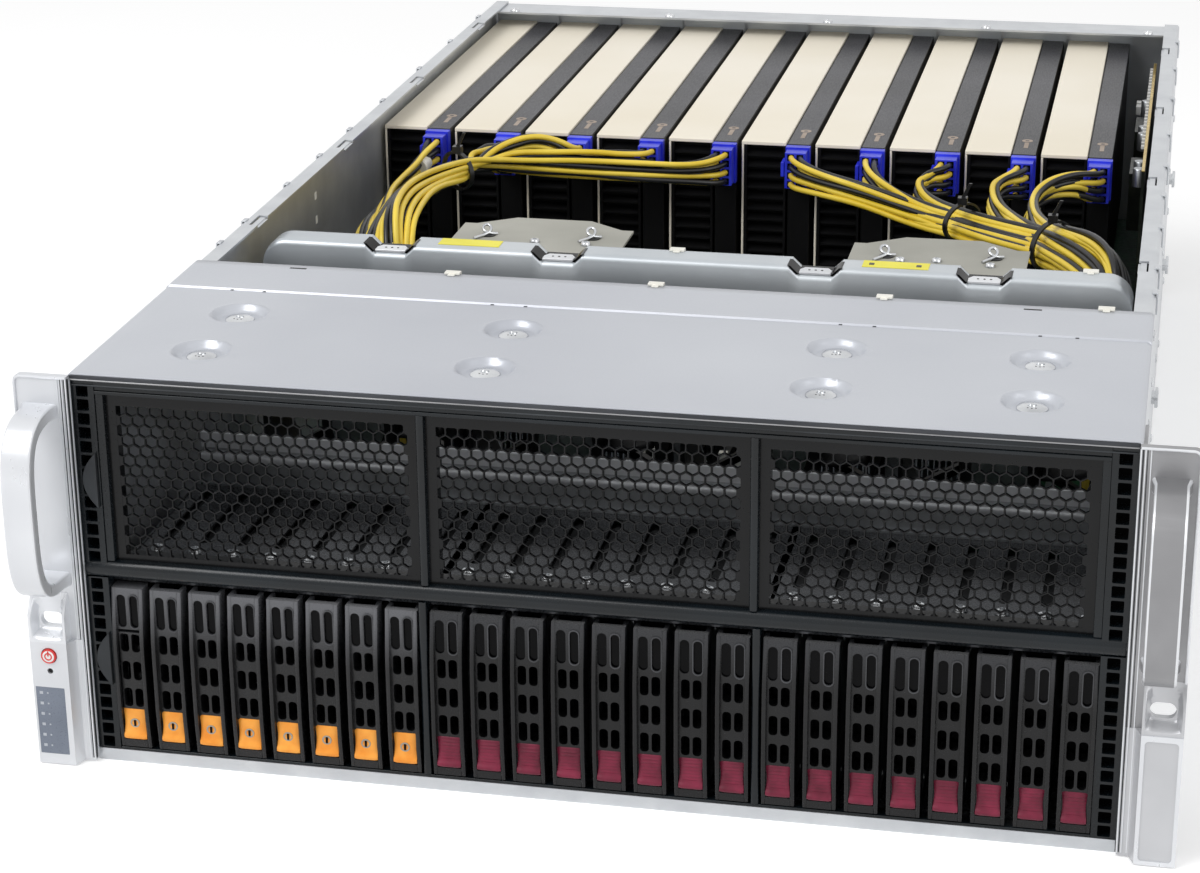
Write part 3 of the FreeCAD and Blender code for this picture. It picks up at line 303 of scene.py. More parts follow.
def collar(outer, inner, front, back, mark=0):
    """Flat ring between two loops, from a front depth to a back depth."""
    return stacked([outer, inner, inner, outer], [front, front, back, back], mark)


def windows(cells, holes, radius, y_span, mark=0, steps=5):
    """Plate cells with a round-cornered hole each: face, hole wall, back and edge, joined to one plate."""
    inner, arcs = rounded_loop(holes, radius, steps)
    return welded(collar(square_loop(cells, arcs), inner, *y_span, mark))


def lying(surface):
    """A surface made upright, laid flat by swapping depth and height, its faces turned to stay outward."""
    points = np.asarray(surface[0], float).reshape(-1, 3)[:, [0, 2, 1]]
    return points, [group[:, ::-1] for group in surface[1]], surface[2]


def eased(value):
    """Smooth step from 0 to 1: three times the square less twice the cube."""
    part = np.clip(value, 0, 1)
    return part * part * (3 - 2 * part)


def linear(red, green, blue):
    """Colour as seen on a screen, 0 to 255, turned into the linear value that a shader takes."""
    part = np.array([red, green, blue]) / 255.0
    part = np.where(part <= 0.04045, part / 12.92, ((part + 0.055) / 1.055) ** 2.4)
    return (*part.tolist(), 1.0)


def added(tree, kind, inputs=(), **settings):
    """New shader node with its settings and input values."""
    made = tree.nodes.new(kind)
    for name, value in settings.items():
        setattr(made, name, value)
    for name, value in dict(inputs).items():
        made.inputs[name].default_value = value
    return made


def finish(name, deep, pale, rough, grain, relief, spread, patch, metal=0.0, shine=0.5, painted_top_sheen=None):
    """Surface whose tone drifts between two colours in soft patches, with fine grain in gloss and relief.

    With a painted top sheen the surface turns to a third, paler colour between two heights: painted light,
    where the upper part catches more light.
    """
    material = bpy.data.materials.new(name)
    material.use_nodes = True
    tree = material.node_tree
    link = tree.links.new
    shader = tree.nodes["Principled BSDF"]
    place = added(tree, "ShaderNodeTexCoord").outputs["Object"]
    patches = added(tree, "ShaderNodeTexNoise", {"Scale": patch, "Detail": 4.0})
    link(place, patches.inputs["Vector"])
    tone = added(tree, "ShaderNodeValToRGB")
    for stop, position, colour in zip(tone.color_ramp.elements, (0.32, 0.68), (deep, pale)):
        stop.position = position
        stop.color = linear(*colour)
    link(patches.outputs["Fac"], tone.inputs["Fac"])
    base = tone.outputs["Color"]
    # Painted sheen: a paler colour blended in by height, standing in for light on the upper part.
    if painted_top_sheen:
        low, high, colour = painted_top_sheen
        parts = added(tree, "ShaderNodeSeparateXYZ")
        link(place, parts.inputs["Vector"])
        rise = added(tree, "ShaderNodeMapRange", {"From Min": low * MM, "From Max": high * MM},
                     interpolation_type="SMOOTHSTEP")
        link(parts.outputs["Z"], rise.inputs["Value"])
        blend = added(tree, "ShaderNodeMix", data_type="RGBA")
        link(rise.outputs["Result"], blend.inputs["Factor"])
        link(base, blend.inputs["A"])
        blend.inputs["B"].default_value = linear(*colour)
        base = blend.outputs["Result"]
    link(base, shader.inputs["Base Color"])
    stretch = added(tree, "ShaderNodeMapping", {"Scale": (np.ones(3) * grain).tolist()})
    link(place, stretch.inputs["Vector"])
    fine = added(tree, "ShaderNodeTexNoise", {"Scale": 1.0, "Detail": 2.0})
    link(stretch.outputs["Vector"], fine.inputs["Vector"])
    gloss = added(tree, "ShaderNodeMapRange", {"From Min": 0.3, "From Max": 0.7,
                                               "To Min": max(rough - spread, 0.03), "To Max": rough + spread})
    link(fine.outputs["Fac"], gloss.inputs["Value"])
    link(gloss.outputs["Result"], shader.inputs["Roughness"])
    bumps = added(tree, "ShaderNodeBump", {"Strength": relief, "Distance": 0.0003})
    link(fine.outputs["Fac"], bumps.inputs["Height"])
    link(bumps.outputs["Normal"], shader.inputs["Normal"])
    shader.inputs["Metallic"].default_value = metal
    shader.inputs["Specular IOR Level"].default_value = shine
    return material


COVER_PAINT = finish("cover_paint", (177, 180, 188), (195, 198, 204), 0.36, 1500, 0.03, 0.04, 4, metal=0.4)
ZINC = finish("zinc_sheet", (191, 194, 198), (204, 207, 210), 0.34, 900, 0.015, 0.03, 60, metal=0.6)
BRIGHT_ZINC = finish("bright_zinc", (184, 190, 195), (200, 205, 209), 0.36, 700, 0.004, 0.02, 16, metal=0.45)
# Painted shade: dark grey for the cover's front fold, the cover paint as that face looks in shade.
COVER_FOLD_SHADE = finish("cover_fold_shade", (52, 54, 58), (70, 72, 77), 0.36, 900, 0.02, 0.05, 24, metal=0.2, shine=0.3)
FRAME_BLACK = finish("frame_black", (8, 12, 15), (17, 24, 29), 0.24, 1800, 0.06, 0.05, 20, shine=0.35)
GRILLE_BLACK = finish("grille_black", (8, 8, 9), (15, 16, 18), 0.22, 1500, 0.05, 0.06, 30, shine=0.24)
CAGE_DARK = finish("cage_dark", (52, 54, 57), (73, 75, 79), 0.28, 900, 0.03, 0.05, 24, metal=0.6, shine=0.4)
INNER_DARK = finish("inner_dark", (44, 46, 48), (66, 69, 72), 0.42, 900, 0.05, 0.06, 24, metal=0.5, shine=0.3)
EAR_SILVER = finish("ear_silver", (208, 210, 214), (226, 228, 231), 0.34, (300, 300, 60), 0.004, 0.03, 12,
                    metal=0.35)
HANDLE_SILVER = finish("handle_silver", (214, 216, 220), (232, 234, 237), 0.3, (300, 300, 60), 0.004, 0.03,
                       12, metal=0.4)
# Panel grey: the right ear's lower panel, and on the right ear's scoop a painted-shade copy of the left
# scoop's pale silver.
EAR_PANEL = finish("ear_panel", (184, 185, 188), (204, 205, 208), 0.36, (60, 60, 1400), 0.008, 0.05, 14,
                   metal=0.4)
# Darker brushed silver: the cover's thin edge line; on the right ear plate and right handle faces, a
# painted-shade copy of the pale ear and handle silver.
BRUSHED = finish("brushed_silver", (136, 136, 138), (166, 166, 168), 0.34, (60, 60, 1400), 0.012, 0.06, 14,
                 metal=0.55)
WINDOW_GREY = finish("window_grey", (104, 112, 126), (122, 130, 144), 0.3, 1400, 0.04, 0.04, 30)
STATUS_PALE = finish("status_pale", (160, 165, 174), (188, 192, 199), 0.4, 1800, 0.03, 0.05, 60)
BUTTON_RED = finish("button_red", (196, 40, 40), (222, 60, 56), 0.35, 2200, 0.06, 0.05, 90)
BUTTON_BLACK = finish("button_black", (10, 10, 11), (20, 20, 22), 0.4, 2200, 0.06, 0.05, 90, shine=0.3)
# Bezel shells grow paler towards the top: a painted sheen for the light that their leaning tops catch.
BEZEL_GREY = finish("bezel_grey", (12, 12, 13), (22, 22, 24), 0.28, 2200, 0.08, 0.07, 60, shine=0.4,
                    painted_top_sheen=(52, 84, (96, 97, 101)))
BEZEL_DARK = finish("bezel_dark", (9, 9, 10), (17, 17, 19), 0.28, 2200, 0.08, 0.07, 60, shine=0.34,
                    painted_top_sheen=(60, 84, (48, 49, 52)))
BEZEL_RIM = finish("bezel_rim", (44, 45, 48), (64, 65, 69), 0.3, 2200, 0.06, 0.06, 60)
LAMP_BLACK = finish("lamp_black", (4, 4, 5), (10, 10, 12), 0.12, 1800, 0.02, 0.03, 60, shine=0.08)
CATCH_ORANGE = finish("catch_orange", (240, 146, 44), (255, 176, 74), 0.36, 2400, 0.08, 0.06, 120, shine=0.4)
CATCH_MAROON = finish("catch_maroon", (94, 20, 42), (128, 36, 62), 0.36, 2400, 0.08, 0.06, 120, shine=0.3)
MARK_WHITE = finish("mark_white", (222, 222, 220), (240, 240, 238), 0.5, 1800, 0.03, 0.05, 60)
BRIGHT_STEEL = finish("bright_steel", (186, 188, 191), (218, 220, 222), 0.2, 900, 0.02, 0.05, 60, metal=0.95)
SHELF_GREY = finish("shelf_grey", (150, 149, 140), (172, 171, 162), 0.55, 1500, 0.08, 0.06, 16, shine=0.4)
FAN_PLASTIC = finish("fan_plastic", (14, 14, 15), (26, 26, 28), 0.45, 1600, 0.1, 0.06, 24, shine=0.3)
BOARD_DARK = finish("board_dark", (14, 18, 14), (34, 40, 32), 0.4, (420, 420, 900), 0.2, 0.08, 160,
                    shine=0.35)
BOARD_GREEN = finish("board_green", (12, 46, 28), (26, 78, 46), 0.36, (420, 420, 900), 0.2, 0.08, 160,
                     shine=0.4)
FIN_METAL = finish("fin_metal", (168, 171, 174), (200, 203, 206), 0.32, (900, 90, 900), 0.04, 0.06, 30,
                   metal=0.95)
MEMORY_BLACK = finish("memory_black", (12, 13, 13), (32, 35, 34), 0.4, 300, 0.15, 0.08, 220, shine=0.3)
CARD_CREAM = finish("card_cream", (241, 232, 212), (250, 243, 228), 0.48, 1700, 0.05, 0.05, 6, shine=0.3)
CARD_STRIP = finish("card_strip", (50, 50, 53), (72, 72, 76), 0.42, (1700, 220, 1700), 0.08, 0.06, 12,
                    shine=0.35)
CARD_BLACK = finish("card_black", (5, 5, 6), (13, 13, 14), 0.44, 1500, 0.08, 0.06, 24, shine=0.25)
PLUG_BLUE = finish("plug_blue", (34, 42, 196), (60, 74, 232), 0.34, 1800, 0.08, 0.06, 60, shine=0.4)
WIRE_YELLOW = finish("wire_yellow", (222, 190, 46), (244, 216, 84), 0.36, 700, 0.08, 0.06, 30, shine=0.45)
WIRE_BLACK = finish("wire_black", (14, 14, 15), (34, 34, 35), 0.34, 700, 0.08, 0.06, 30, shine=0.45)
STRIP_YELLOW = finish("strip_yellow", (226, 216, 40), (242, 232, 66), 0.42, 1500, 0.04, 0.05, 30)
CLIP_WHITE = finish("clip_white", (230, 228, 218), (244, 242, 234), 0.45, 1500, 0.05, 0.05, 60)
LAMP_GREEN = finish("lamp_green", (40, 170, 70), (70, 205, 96), 0.3, 1800, 0.03, 0.05, 60)
TAG_BEIGE = finish("tag_beige", (150, 134, 120), (176, 160, 146), 0.5, 1800, 0.04, 0.05, 60, shine=0.3)
GOLD = finish("gold_contact", (190, 160, 84), (222, 196, 122), 0.3, 1200, 0.05, 0.06, 90, metal=0.7)
SUPPLY_METAL = finish("supply_metal", (146, 149, 152), (180, 183, 186), 0.34, (900, 120, 900), 0.03, 0.05, 26,
                      metal=0.9)
FLOOR_WHITE = finish("floor_white", (238, 238, 238), (242, 242, 242), 0.9, 40, 0.0, 0.02, 1, shine=0.0)

SLOT_FINISH = {
    "zinc_sheet": ZINC, "cover_paint": COVER_PAINT, "frame_black": FRAME_BLACK, "grille_grey": GRILLE_BLACK,
    "ear_silver": EAR_SILVER, "handle_silver": HANDLE_SILVER, "window_grey": WINDOW_GREY,
    "button_red": BUTTON_RED, "button_black": BUTTON_BLACK, "bezel_plastic": BEZEL_GREY,
    "catch_orange": CATCH_ORANGE, "bright_steel": BRIGHT_ZINC, "shelf_grey": SHELF_GREY,
    "fan_plastic": FAN_PLASTIC, "board_green": BOARD_GREEN, "fin_aluminium": FIN_METAL,
    "memory_black": MEMORY_BLACK, "card_cream": CARD_CREAM, "plug_blue": PLUG_BLUE,
    "wire_yellow": WIRE_YELLOW, "supply_metal": SUPPLY_METAL,
}


def dress_cad_nodes():
    """Every CAD node that stays in view takes the finish of its material slot."""
    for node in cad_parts.values():
        for place in node.material_slots:
            place.material = SLOT_FINISH[place.material.name.split(".")[0]]
    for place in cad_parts["riser_board"].material_slots:
        place.material = BOARD_DARK


def screw_heads(centres, axis, radius, height, mark=0):
    """Low pan heads: a rim that rounds over to a flat top with a shallow socket."""
    profile = [(radius, -0.2), (radius, 0.35 * height), (0.8 * radius, 0.85 * height), (0.5 * radius, height),
               (0.38 * radius, height), (0.3 * radius, 0.4 * height)]
    return turned(profile, centres, axis, 14, mark)


def screws(name, centres, axis, radius, height):
    """A piece of bright pan-head screws of one size."""
    piece(name, BRIGHT_STEEL, [screw_heads(centres, axis, radius, height)])


def front_cover():
    """Lid front: height over a grid; dimples ease down to flat floors and the rear part steps up."""
    fine = np.linspace(-13.5, 13.5, 31)
    edge = np.array([0.25, 0.6, 1.2, 2.0])
    seam = SEAM_Y + np.array([-0.9, -0.45, -0.25, 0.0, 0.25, 0.5, 0.9])
    x = [np.linspace(-HALF_W, HALF_W, 61), edge - HALF_W, HALF_W - edge] + [c + fine for c in DIMPLE_X]
    y = [np.linspace(0, COVER_D, 31), edge, seam] + [c + fine for c in DIMPLE_Y]
    x = np.unique(np.round(np.concatenate(x), 3))
    y = np.unique(np.round(np.concatenate(y), 3))
    across, along = np.meshgrid(x, y)
    groove = 0.4 * np.exp(-((along - SEAM_Y + 0.45) / 0.25) ** 2)
    z = TOP_Z + 0.6 * eased((along - SEAM_Y) / 0.5 + 0.5) - groove
    dimples = [(cx, cy) for cx in DIMPLE_X for cy in DIMPLE_Y]
    for cx, cy in dimples:
        reach = np.hypot(across - cx, along - cy)
        z -= DIMPLE_D * eased((12.9 - reach) / 3.4) - 0.3 * np.exp(-((reach - 13.1) / 0.9) ** 2)
    for inset, bend in ((along, 0.7), (HALF_W - np.abs(across), 2.0)):
        fall = bend - np.clip(inset, 0, bend)
        z -= np.minimum(bend - np.sqrt(np.maximum(bend ** 2 - fall ** 2, 0.0)), 1.15)
    sheet = (np.stack([across, along, z], -1), [grid_faces(len(y), len(x))])
    piece("cover_sheet", COVER_PAINT, [sheet], ["front_top_cover"], thick=0.9)
    wide = (-217.4, 217.4)
    # The cover's front fold (finish 1) is painted shade, the cover paint darkened where it falls in shade.
    lips = [blocks((-208, 208), (155.8, 156.9), (167.6, 177.6)), blocks(wide, (-0.5, 0.6), (175.5, 177.0), 1),
            blocks(wide, (-0.62, 0.6), (174.9, 175.5), 2)]
    piece("cover_lips", [COVER_PAINT, COVER_FOLD_SHADE, BRUSHED], lips, bevel=0.2)
    spots = np.array([(cx, cy, TOP_Z - DIMPLE_D) for cx, cy in dimples])
    head = [(6.4, -0.3), (6.4, 0.5), (5.9, 0.95), (4.2, 1.35), (1.9, 1.5), (1.7, 0.8)]
    dots = np.concatenate([spots + (dx, -3.2 + 0.25 * abs(dx), 1.28) for dx in (-1.6, 0.0, 1.6)])
    parts = [turned(head, spots, UP, 28), turned([(0.42, -0.3), (0.42, 0.14), (0.2, 0.18)], dots, UP, 8, 1)]
    piece("cover_screws", [BRIGHT_STEEL, LAMP_BLACK], parts)
    notches = (-187.2, -172.1, -67.0, -52.0, 86.9, 101.5, 171.9, 187.4)
    gaps = [blocks(around(notches, 1.6), around([SEAM_Y - 0.6], 1.3), (TOP_Z - 0.6, TOP_Z + 0.12)),
            blocks(around([-167.0, 166.6], 8.0), around([152.6, 151.8], 1.7), (TOP_Z, TOP_Z + 0.68))]
    piece("cover_openings", LAMP_BLACK, gaps, bevel=0.2)


def honeycomb():
    """Three perforated panels: each hexagon cell is a ring from outer to inner corners, through and back."""
    pitch = 5.2
    columns, rows = 24, 15
    column, row = [part.ravel() for part in np.meshgrid(np.arange(-1, columns + 1), np.arange(-1, rows + 1))]
    centre_x = (column - (columns - 1) / 2 + np.where(row % 2, 0.25, -0.25)) * pitch
    centre_z = 130.0 + (row - (rows - 1) / 2) * (pitch * math.sqrt(3) / 2)
    pierced = (column >= 0) & (column < columns) & (row >= 0) & (row < rows)
    angle = np.pi / 6 + np.pi / 3 * np.arange(6)
    corner = np.stack([np.cos(angle), np.sin(angle)], -1)
    face, back = 3.4, 4.6
    rim_x = np.array([(-66.7, -62.5), (62.5, 66.7), (-62.5, 62.5), (-62.5, 62.5)])
    rim_z = ((94.1, 168.9), (94.1, 168.9), (94.1, 96.6), (163.4, 168.9))
    surfaces = []
    for middle in WINDOW_X:
        centre = np.stack([centre_x + middle, centre_z], -1)[:, None]
        outer = centre + corner * pitch / math.sqrt(3)
        rounded = centre + corner * pitch * 0.524
        inner = centre + corner * pitch * 0.486
        rings = stacked([loop[pierced] for loop in (outer, rounded, inner, inner, outer)],
                        [face, face, face + 0.35, back, back])
        edge = outer[~pierced]
        blank = np.stack([np.insert(edge, 1, depth, axis=-1) for depth in (back, face)], 1)
        sides = repeated(grid_faces(2, 6, closed_columns=True), len(edge), 12)
        surfaces.append(welded(rings, (blank, [sides, repeated(end_caps(2, 6), len(edge), 12)])))
        surfaces.append(blocks(middle + rim_x, (face - 0.1, 8.4), rim_z))
    piece("honeycomb_panels", GRILLE_BLACK, surfaces, ["intake_grilles"])


def front_bars():
    """Front frame: rounded bars round the windows and bays, side strips of square vents, and lens tabs."""
    turn = np.linspace(-np.pi / 2, np.pi / 2, 9)
    nose = np.stack([1.6 - 2.6 * np.cos(turn), 90.25 + 3.75 * np.sin(turn)], -1)
    inner = 207.2
    rear = [(BAR_BACK, WINDOW_Z[0]), (BAR_BACK, BAY_Z[1])]
    bars = [prism(np.concatenate([nose, rear]), (-216.9, 216.9), "yz"),
            blocks((-inner, inner), [(front, BAR_BACK) for front in (-0.6, 0.5, -0.2, 0.2)],
                   ((172.4, 174.9), (170.6, 172.4), (169.0, 170.6), (5.7, 6.8)))]
    for side in SIDES:
        for x, height in ((side * 68.5, WINDOW_Z), (side * 69.9, BAY_Z)):
            bow = np.stack([x + 1.7 * np.sin(turn), 0.8 - 1.0 * np.cos(turn)], -1)
            loop = np.concatenate([bow, [(x + 1.7, BAR_BACK), (x - 1.7, BAR_BACK)]])
            bars.append(prism(loop, height, "xy"))
    bars.append(blocks((-216.8, 216.8), (-0.8, 0.2), (172.6, 173.3), 1))
    pitch = 6.2
    low = 6.0 + pitch * np.delete(np.arange(27), 13)
    vents = []
    for side in SIDES:
        span = sorted((side * inner, side * 217.2))
        hole = sorted((side * 209.8, side * 215.0))
        cells = [(*span, z, z + pitch) for z in low]
        holes = [(*hole, z + 0.6, z + 5.6) for z in low]
        vents += [windows(cells, holes, 0.5, (0, BAR_BACK), steps=3),
                  blocks(span, (0, BAR_BACK), (173.4, 174.9)),
                  blocks(hole, (BAR_BACK, 7.6), (6.5, 172.9), 1)]
        bars.append(blocks(sorted((side * 203.8, side * inner)), (0.6, BAR_BACK), WINDOW_Z))
    bow = np.linspace(-1, 1, 17)
    for z in (49.0, 131.0):
        lens = np.stack([-208.2 - 6.2 * (1 - bow ** 2), z + 12.4 * bow], -1)
        bars.append(prism(lens, (-1.8, 0.2), "xz", 1))
    piece("side_vents", [FRAME_BLACK, LAMP_BLACK], vents)
    piece("front_bars", [FRAME_BLACK, INNER_DARK], bars, ["front_frame"], bevel=0.3)


def drive_cage():
    """Sheet cage over the drives: a roof with narrow slots over each group, walls between them, a floor."""
    cells = [(x - BAY_PITCH / 2, x + BAY_PITCH / 2, *CAGE_Y) for x in BAY_X]
    holes = [(x - 2.3, x + 2.3, 50, 110) for x in BAY_X]
    roof_z = (82.2, CAGE_TOP)
    roof = lying(windows(cells, holes, 2.2, roof_z))
    walls = blocks(((-209.6, -208), (-71.6, -68.2), (68.2, 71.6), (208, 209.6), (-208, 208)), CAGE_Y,
                   [(CAGE_LOW, CAGE_TOP)] * 4 + [(CAGE_LOW, 6.8)])
    seams = blocks(around([-69.9, 69.9], 2.0), CAGE_Y, roof_z)
    piece("cage_sheet", CAGE_DARK, [roof, walls, seams], ["drive_cage"])
    screws("cage_screws", [(x, 40.0, CAGE_TOP) for x in BAY_X], UP, 3.2, 2.2)
    wide = (-206, 206)
    roll = np.linspace(-np.pi / 2, np.pi / 2, 7)
    lip = np.stack([117.6 - 1.4 * np.cos(roll), 97.2 + 2.8 * np.sin(roll)], -1)
    bar = [prism(np.concatenate([lip, [(120, 100), (120, 94.4)]]), wide, "yz"),
           blocks(wide, (117.4, 119), (101.6, 108.6)),
           blocks(wide, ((118.6, 120), (116.1, 117.8)), ((83.6, 101.8), (81.0, 84.4)), 1),
           blocks(around([-205, -70, 70, 205], 3.0), (120.5, 122), (83.6, 108))]
    piece("air_bar", [EAR_SILVER, SUPPLY_METAL], bar)


def bezel_front(z):
    """Depth of a bezel's rim at a height: the side view's straight runs, averaged over a few millimetres."""
    reach = np.linspace(-4, 4, 9)[:, None]
    runs = np.interp(np.asarray(z, float) + reach, (7.3, 23.3, 57.5, 81.5), (0.4, -1.3, -1.3, 1.6))
    return runs.mean(0)


def bezel(x, open_middle):
    """Carrier front: two bowed rims, a sunk face with lamp windows and air slots, and a foot."""
    z = np.linspace(CARRIER_LOW, CARRIER_TOP, 13)
    front = bezel_front(z)
    face = (x - FACE_HALF, x + FACE_HALF)
    surfaces = []
    for side in SIDES:
        low, high = np.sort([x + side * CARRIER_HALF, x + side * FACE_HALF])
        offsets = np.array([(low, BEZEL_BACK, 0), (low, 0.35, 1), (low + 0.3, 0.06, 1), (low + 0.85, 0, 1),
                            (high - 0.3, 0.06, 1), (high, 0.35, 1), (high, BEZEL_BACK, 0)])
        points = np.zeros((len(z), len(offsets), 3))
        points[:, :, 0] = offsets[:, 0]
        points[:, :, 1] = offsets[:, 1] + front[:, None] * offsets[:, 2]
        points[:, :, 2] = z[:, None]
        surfaces.append(tube(points))
    top = CARRIER_TOP
    foot = top - (19.2 if open_middle else LEVER_HEAD)
    sill = CARRIER_LOW + 3.4
    cells = [(face[0], x, foot, top), (x, face[1], foot, top)]
    pills = [(x + left, x + right, top - 18.3, top - 3.1) for left, right in ((-4.85, -0.85), (0.85, 4.85))]
    lip = rounded_loop((x + 0.45, x + 5.05, top - 18.8, top - 2.6), 2.3, 7)[0]
    pill = rounded_loop((x + 0.9, x + 4.6, top - 18.2, top - 3.2), 1.84, 7)[0]
    surfaces += [windows(cells, pills, 1.96, (FACE_Y, 4.6), steps=7), collar(lip, pill, 1.15, 1.7, 4),
                 blocks(face, (2.4, 4.4), (foot + 0.2, top - 1.0), 1),
                 blocks(face, (0.3, BEZEL_BACK), (CARRIER_LOW, sill))]
    if open_middle:
        surfaces.append(blocks(face, (4.6, BEZEL_BACK), (top - 18.8, top)))
    else:
        surfaces.append(slotted_lever(x, FACE_HALF, BEZEL_BACK))
        surfaces.append(blocks(face, (1.6, BEZEL_BACK), (sill, top - LEVER_FOOT)))
    return surfaces


def slotted_lever(x, half, back, head=LEVER_HEAD):
    """Three rows of two upright air slots, each in its own plate cell."""
    edges = CARRIER_TOP - np.array([head, 31.85, 45.0, LEVER_FOOT])
    cells = []
    slots = []
    for row, slot_top in enumerate((20.9, 34.1, 46.8)):
        for side in SIDES:
            middle = x + side * 2.45
            cells.append((*sorted((x, x + side * half)), edges[row + 1], edges[row]))
            slots.append((middle - 1.85, middle + 1.85, CARRIER_TOP - slot_top - 8.8, CARRIER_TOP - slot_top))
    return windows(cells, slots, 1.5, (FACE_Y, back))


def catch(x, ridged):
    """Push catch: a grid over its face, waisted at mid height, sloping out to a thumb ledge, edges rolled."""
    rows = 38 if ridged else 16
    across, upward = np.meshgrid(np.linspace(-1, 1, 9), np.linspace(0, 1, rows))
    z = CARRIER_TOP - 70.1 + 13.4 * upward
    half = 5.1 - 0.45 * np.sin(np.pi * np.clip(upward * 1.1 - 0.1, 0, 1)) ** 2
    depth = np.interp(upward, (0, 0.1, 0.22, 1), (-0.75, -0.75, 0.15, 1.1))
    if ridged:
        field = (upward > 0.25) * (upward < 0.97) * (np.abs(across) < 0.95)
        depth += 0.16 * np.sin(upward * 2 * np.pi * 9) * field
    depth += 0.5 * np.abs(across) ** 8 + 0.35 * np.abs(2 * upward - 1) ** 24
    face = np.stack([x + half * across, depth, z], -1)
    rear = face[:, ::-1] * (1, 0, 1) + (0, 2.4, 0)
    return tube(np.concatenate([face, rear], 1))


def carriers():
    """Twenty-four drive carriers: bezel, rails, drive and catch."""
    rail_y = (9, 108)
    for number, x in enumerate(BAY_X, 1):
        name = "drive_carrier_%02d" % number
        wide = (x - CARRIER_HALF, x + CARRIER_HALF)
        surfaces = bezel(x, number == 1)
        surfaces += [blocks(wide, rail_y, (7.3, 9.3), 2), blocks(wide, rail_y, (79.5, 81.5), 1),
                     blocks((x - 6.25, x + 6.25), (11, 111), (9.3, 79.5), 3),
                     blocks((x - 5.4, x + 5.4), (10.8, 11), (12.0, 77.0), 1),
                     blocks((x - 3.4, x + 3.4), (110.8, 112.2), (22.0, 52.0), 1)]
        for side in SIDES:
            rivets = [(x + side * 6.25, y, z) for y in (24.0, 100.0) for z in (14.0, 75.0)]
            surfaces.append(screw_heads(rivets, (side, 0, 0), 1.8, 0.4, 3))
        orange = number <= 8
        shell = BEZEL_GREY if orange else BEZEL_DARK
        piece("carrier_%02d" % number, [shell, LAMP_BLACK, FRAME_BLACK, SUPPLY_METAL, BEZEL_RIM], surfaces,
              [name], body=name)
        body = name if number > 1 else "carrier_01_button"
        piece("catch_%02d" % number, CATCH_ORANGE if orange else CATCH_MAROON, [catch(x, not orange)],
              () if number > 1 else [body], body=body)
        if orange:
            key = [(1.9, -0.2), (2.1, 0.15), (2.1, 0.4), (1.5, 0.4), (1.3, -0.3)]
            mark = [turned(key, [(x, 0.75, 18.6)], (0, -1, 0), 18),
                    blocks(around([x], 0.9), (0.2, 1.0), (17.2, 20.0), 1)]
            piece("catch_mark_%02d" % number, [SHELF_GREY, LAMP_BLACK], mark, body=body)
    x = BAY_X[0]
    lever = [slotted_lever(x, 4.9, 4.6, 20.5),
             turned([(0.9, 0), (0.9, 10.2)], [(x - 5.1, 3.1, 60.2)], (1, 0, 0), 12)]
    piece("ejector_lever_01", BEZEL_GREY, lever, ["carrier_01_lever"],
          body="carrier_01_lever")


def strap_handles():
    """Strap handles: a flat bar with bright corners along half a superellipse, widening at each ear. On the
    right handle the faces take the darker brushed silver as painted shade, and the bright corners are partly
    a painted highlight.
    """
    reach, rise = arch(3.6, 57)
    size = 1 + 0.2 * eased((0.16 - reach) / 0.16)
    loop = rounded_loop((-6.6, 6.6, -2.8, 2.8), 1.0, 3)[0][0]
    wide = np.array([1.0, 0, 0])
    surfaces = []
    for side in SIDES:
        centres = np.stack([np.full_like(reach, side * 230.3), -2.2 - 29.0 * reach, 123.75 + 37.8 * rise], -1)
        points, (rows, caps), _ = swept(loop, centres, wide, np.cross(heading(centres), wide), scale=size)
        # Corner columns keep the bright silver, partly a painted highlight; the right handle's other faces
        # take the darker brushed silver, painted shade.
        corner = rows[:, 0] % len(loop) % 3 < 2
        surfaces.append((points, [rows[corner]]))
        surfaces.append((points, [rows[~corner], caps], (side + 1) // 2))
    piece("strap_handles", [HANDLE_SILVER, BRUSHED], surfaces, ["front_handles"])


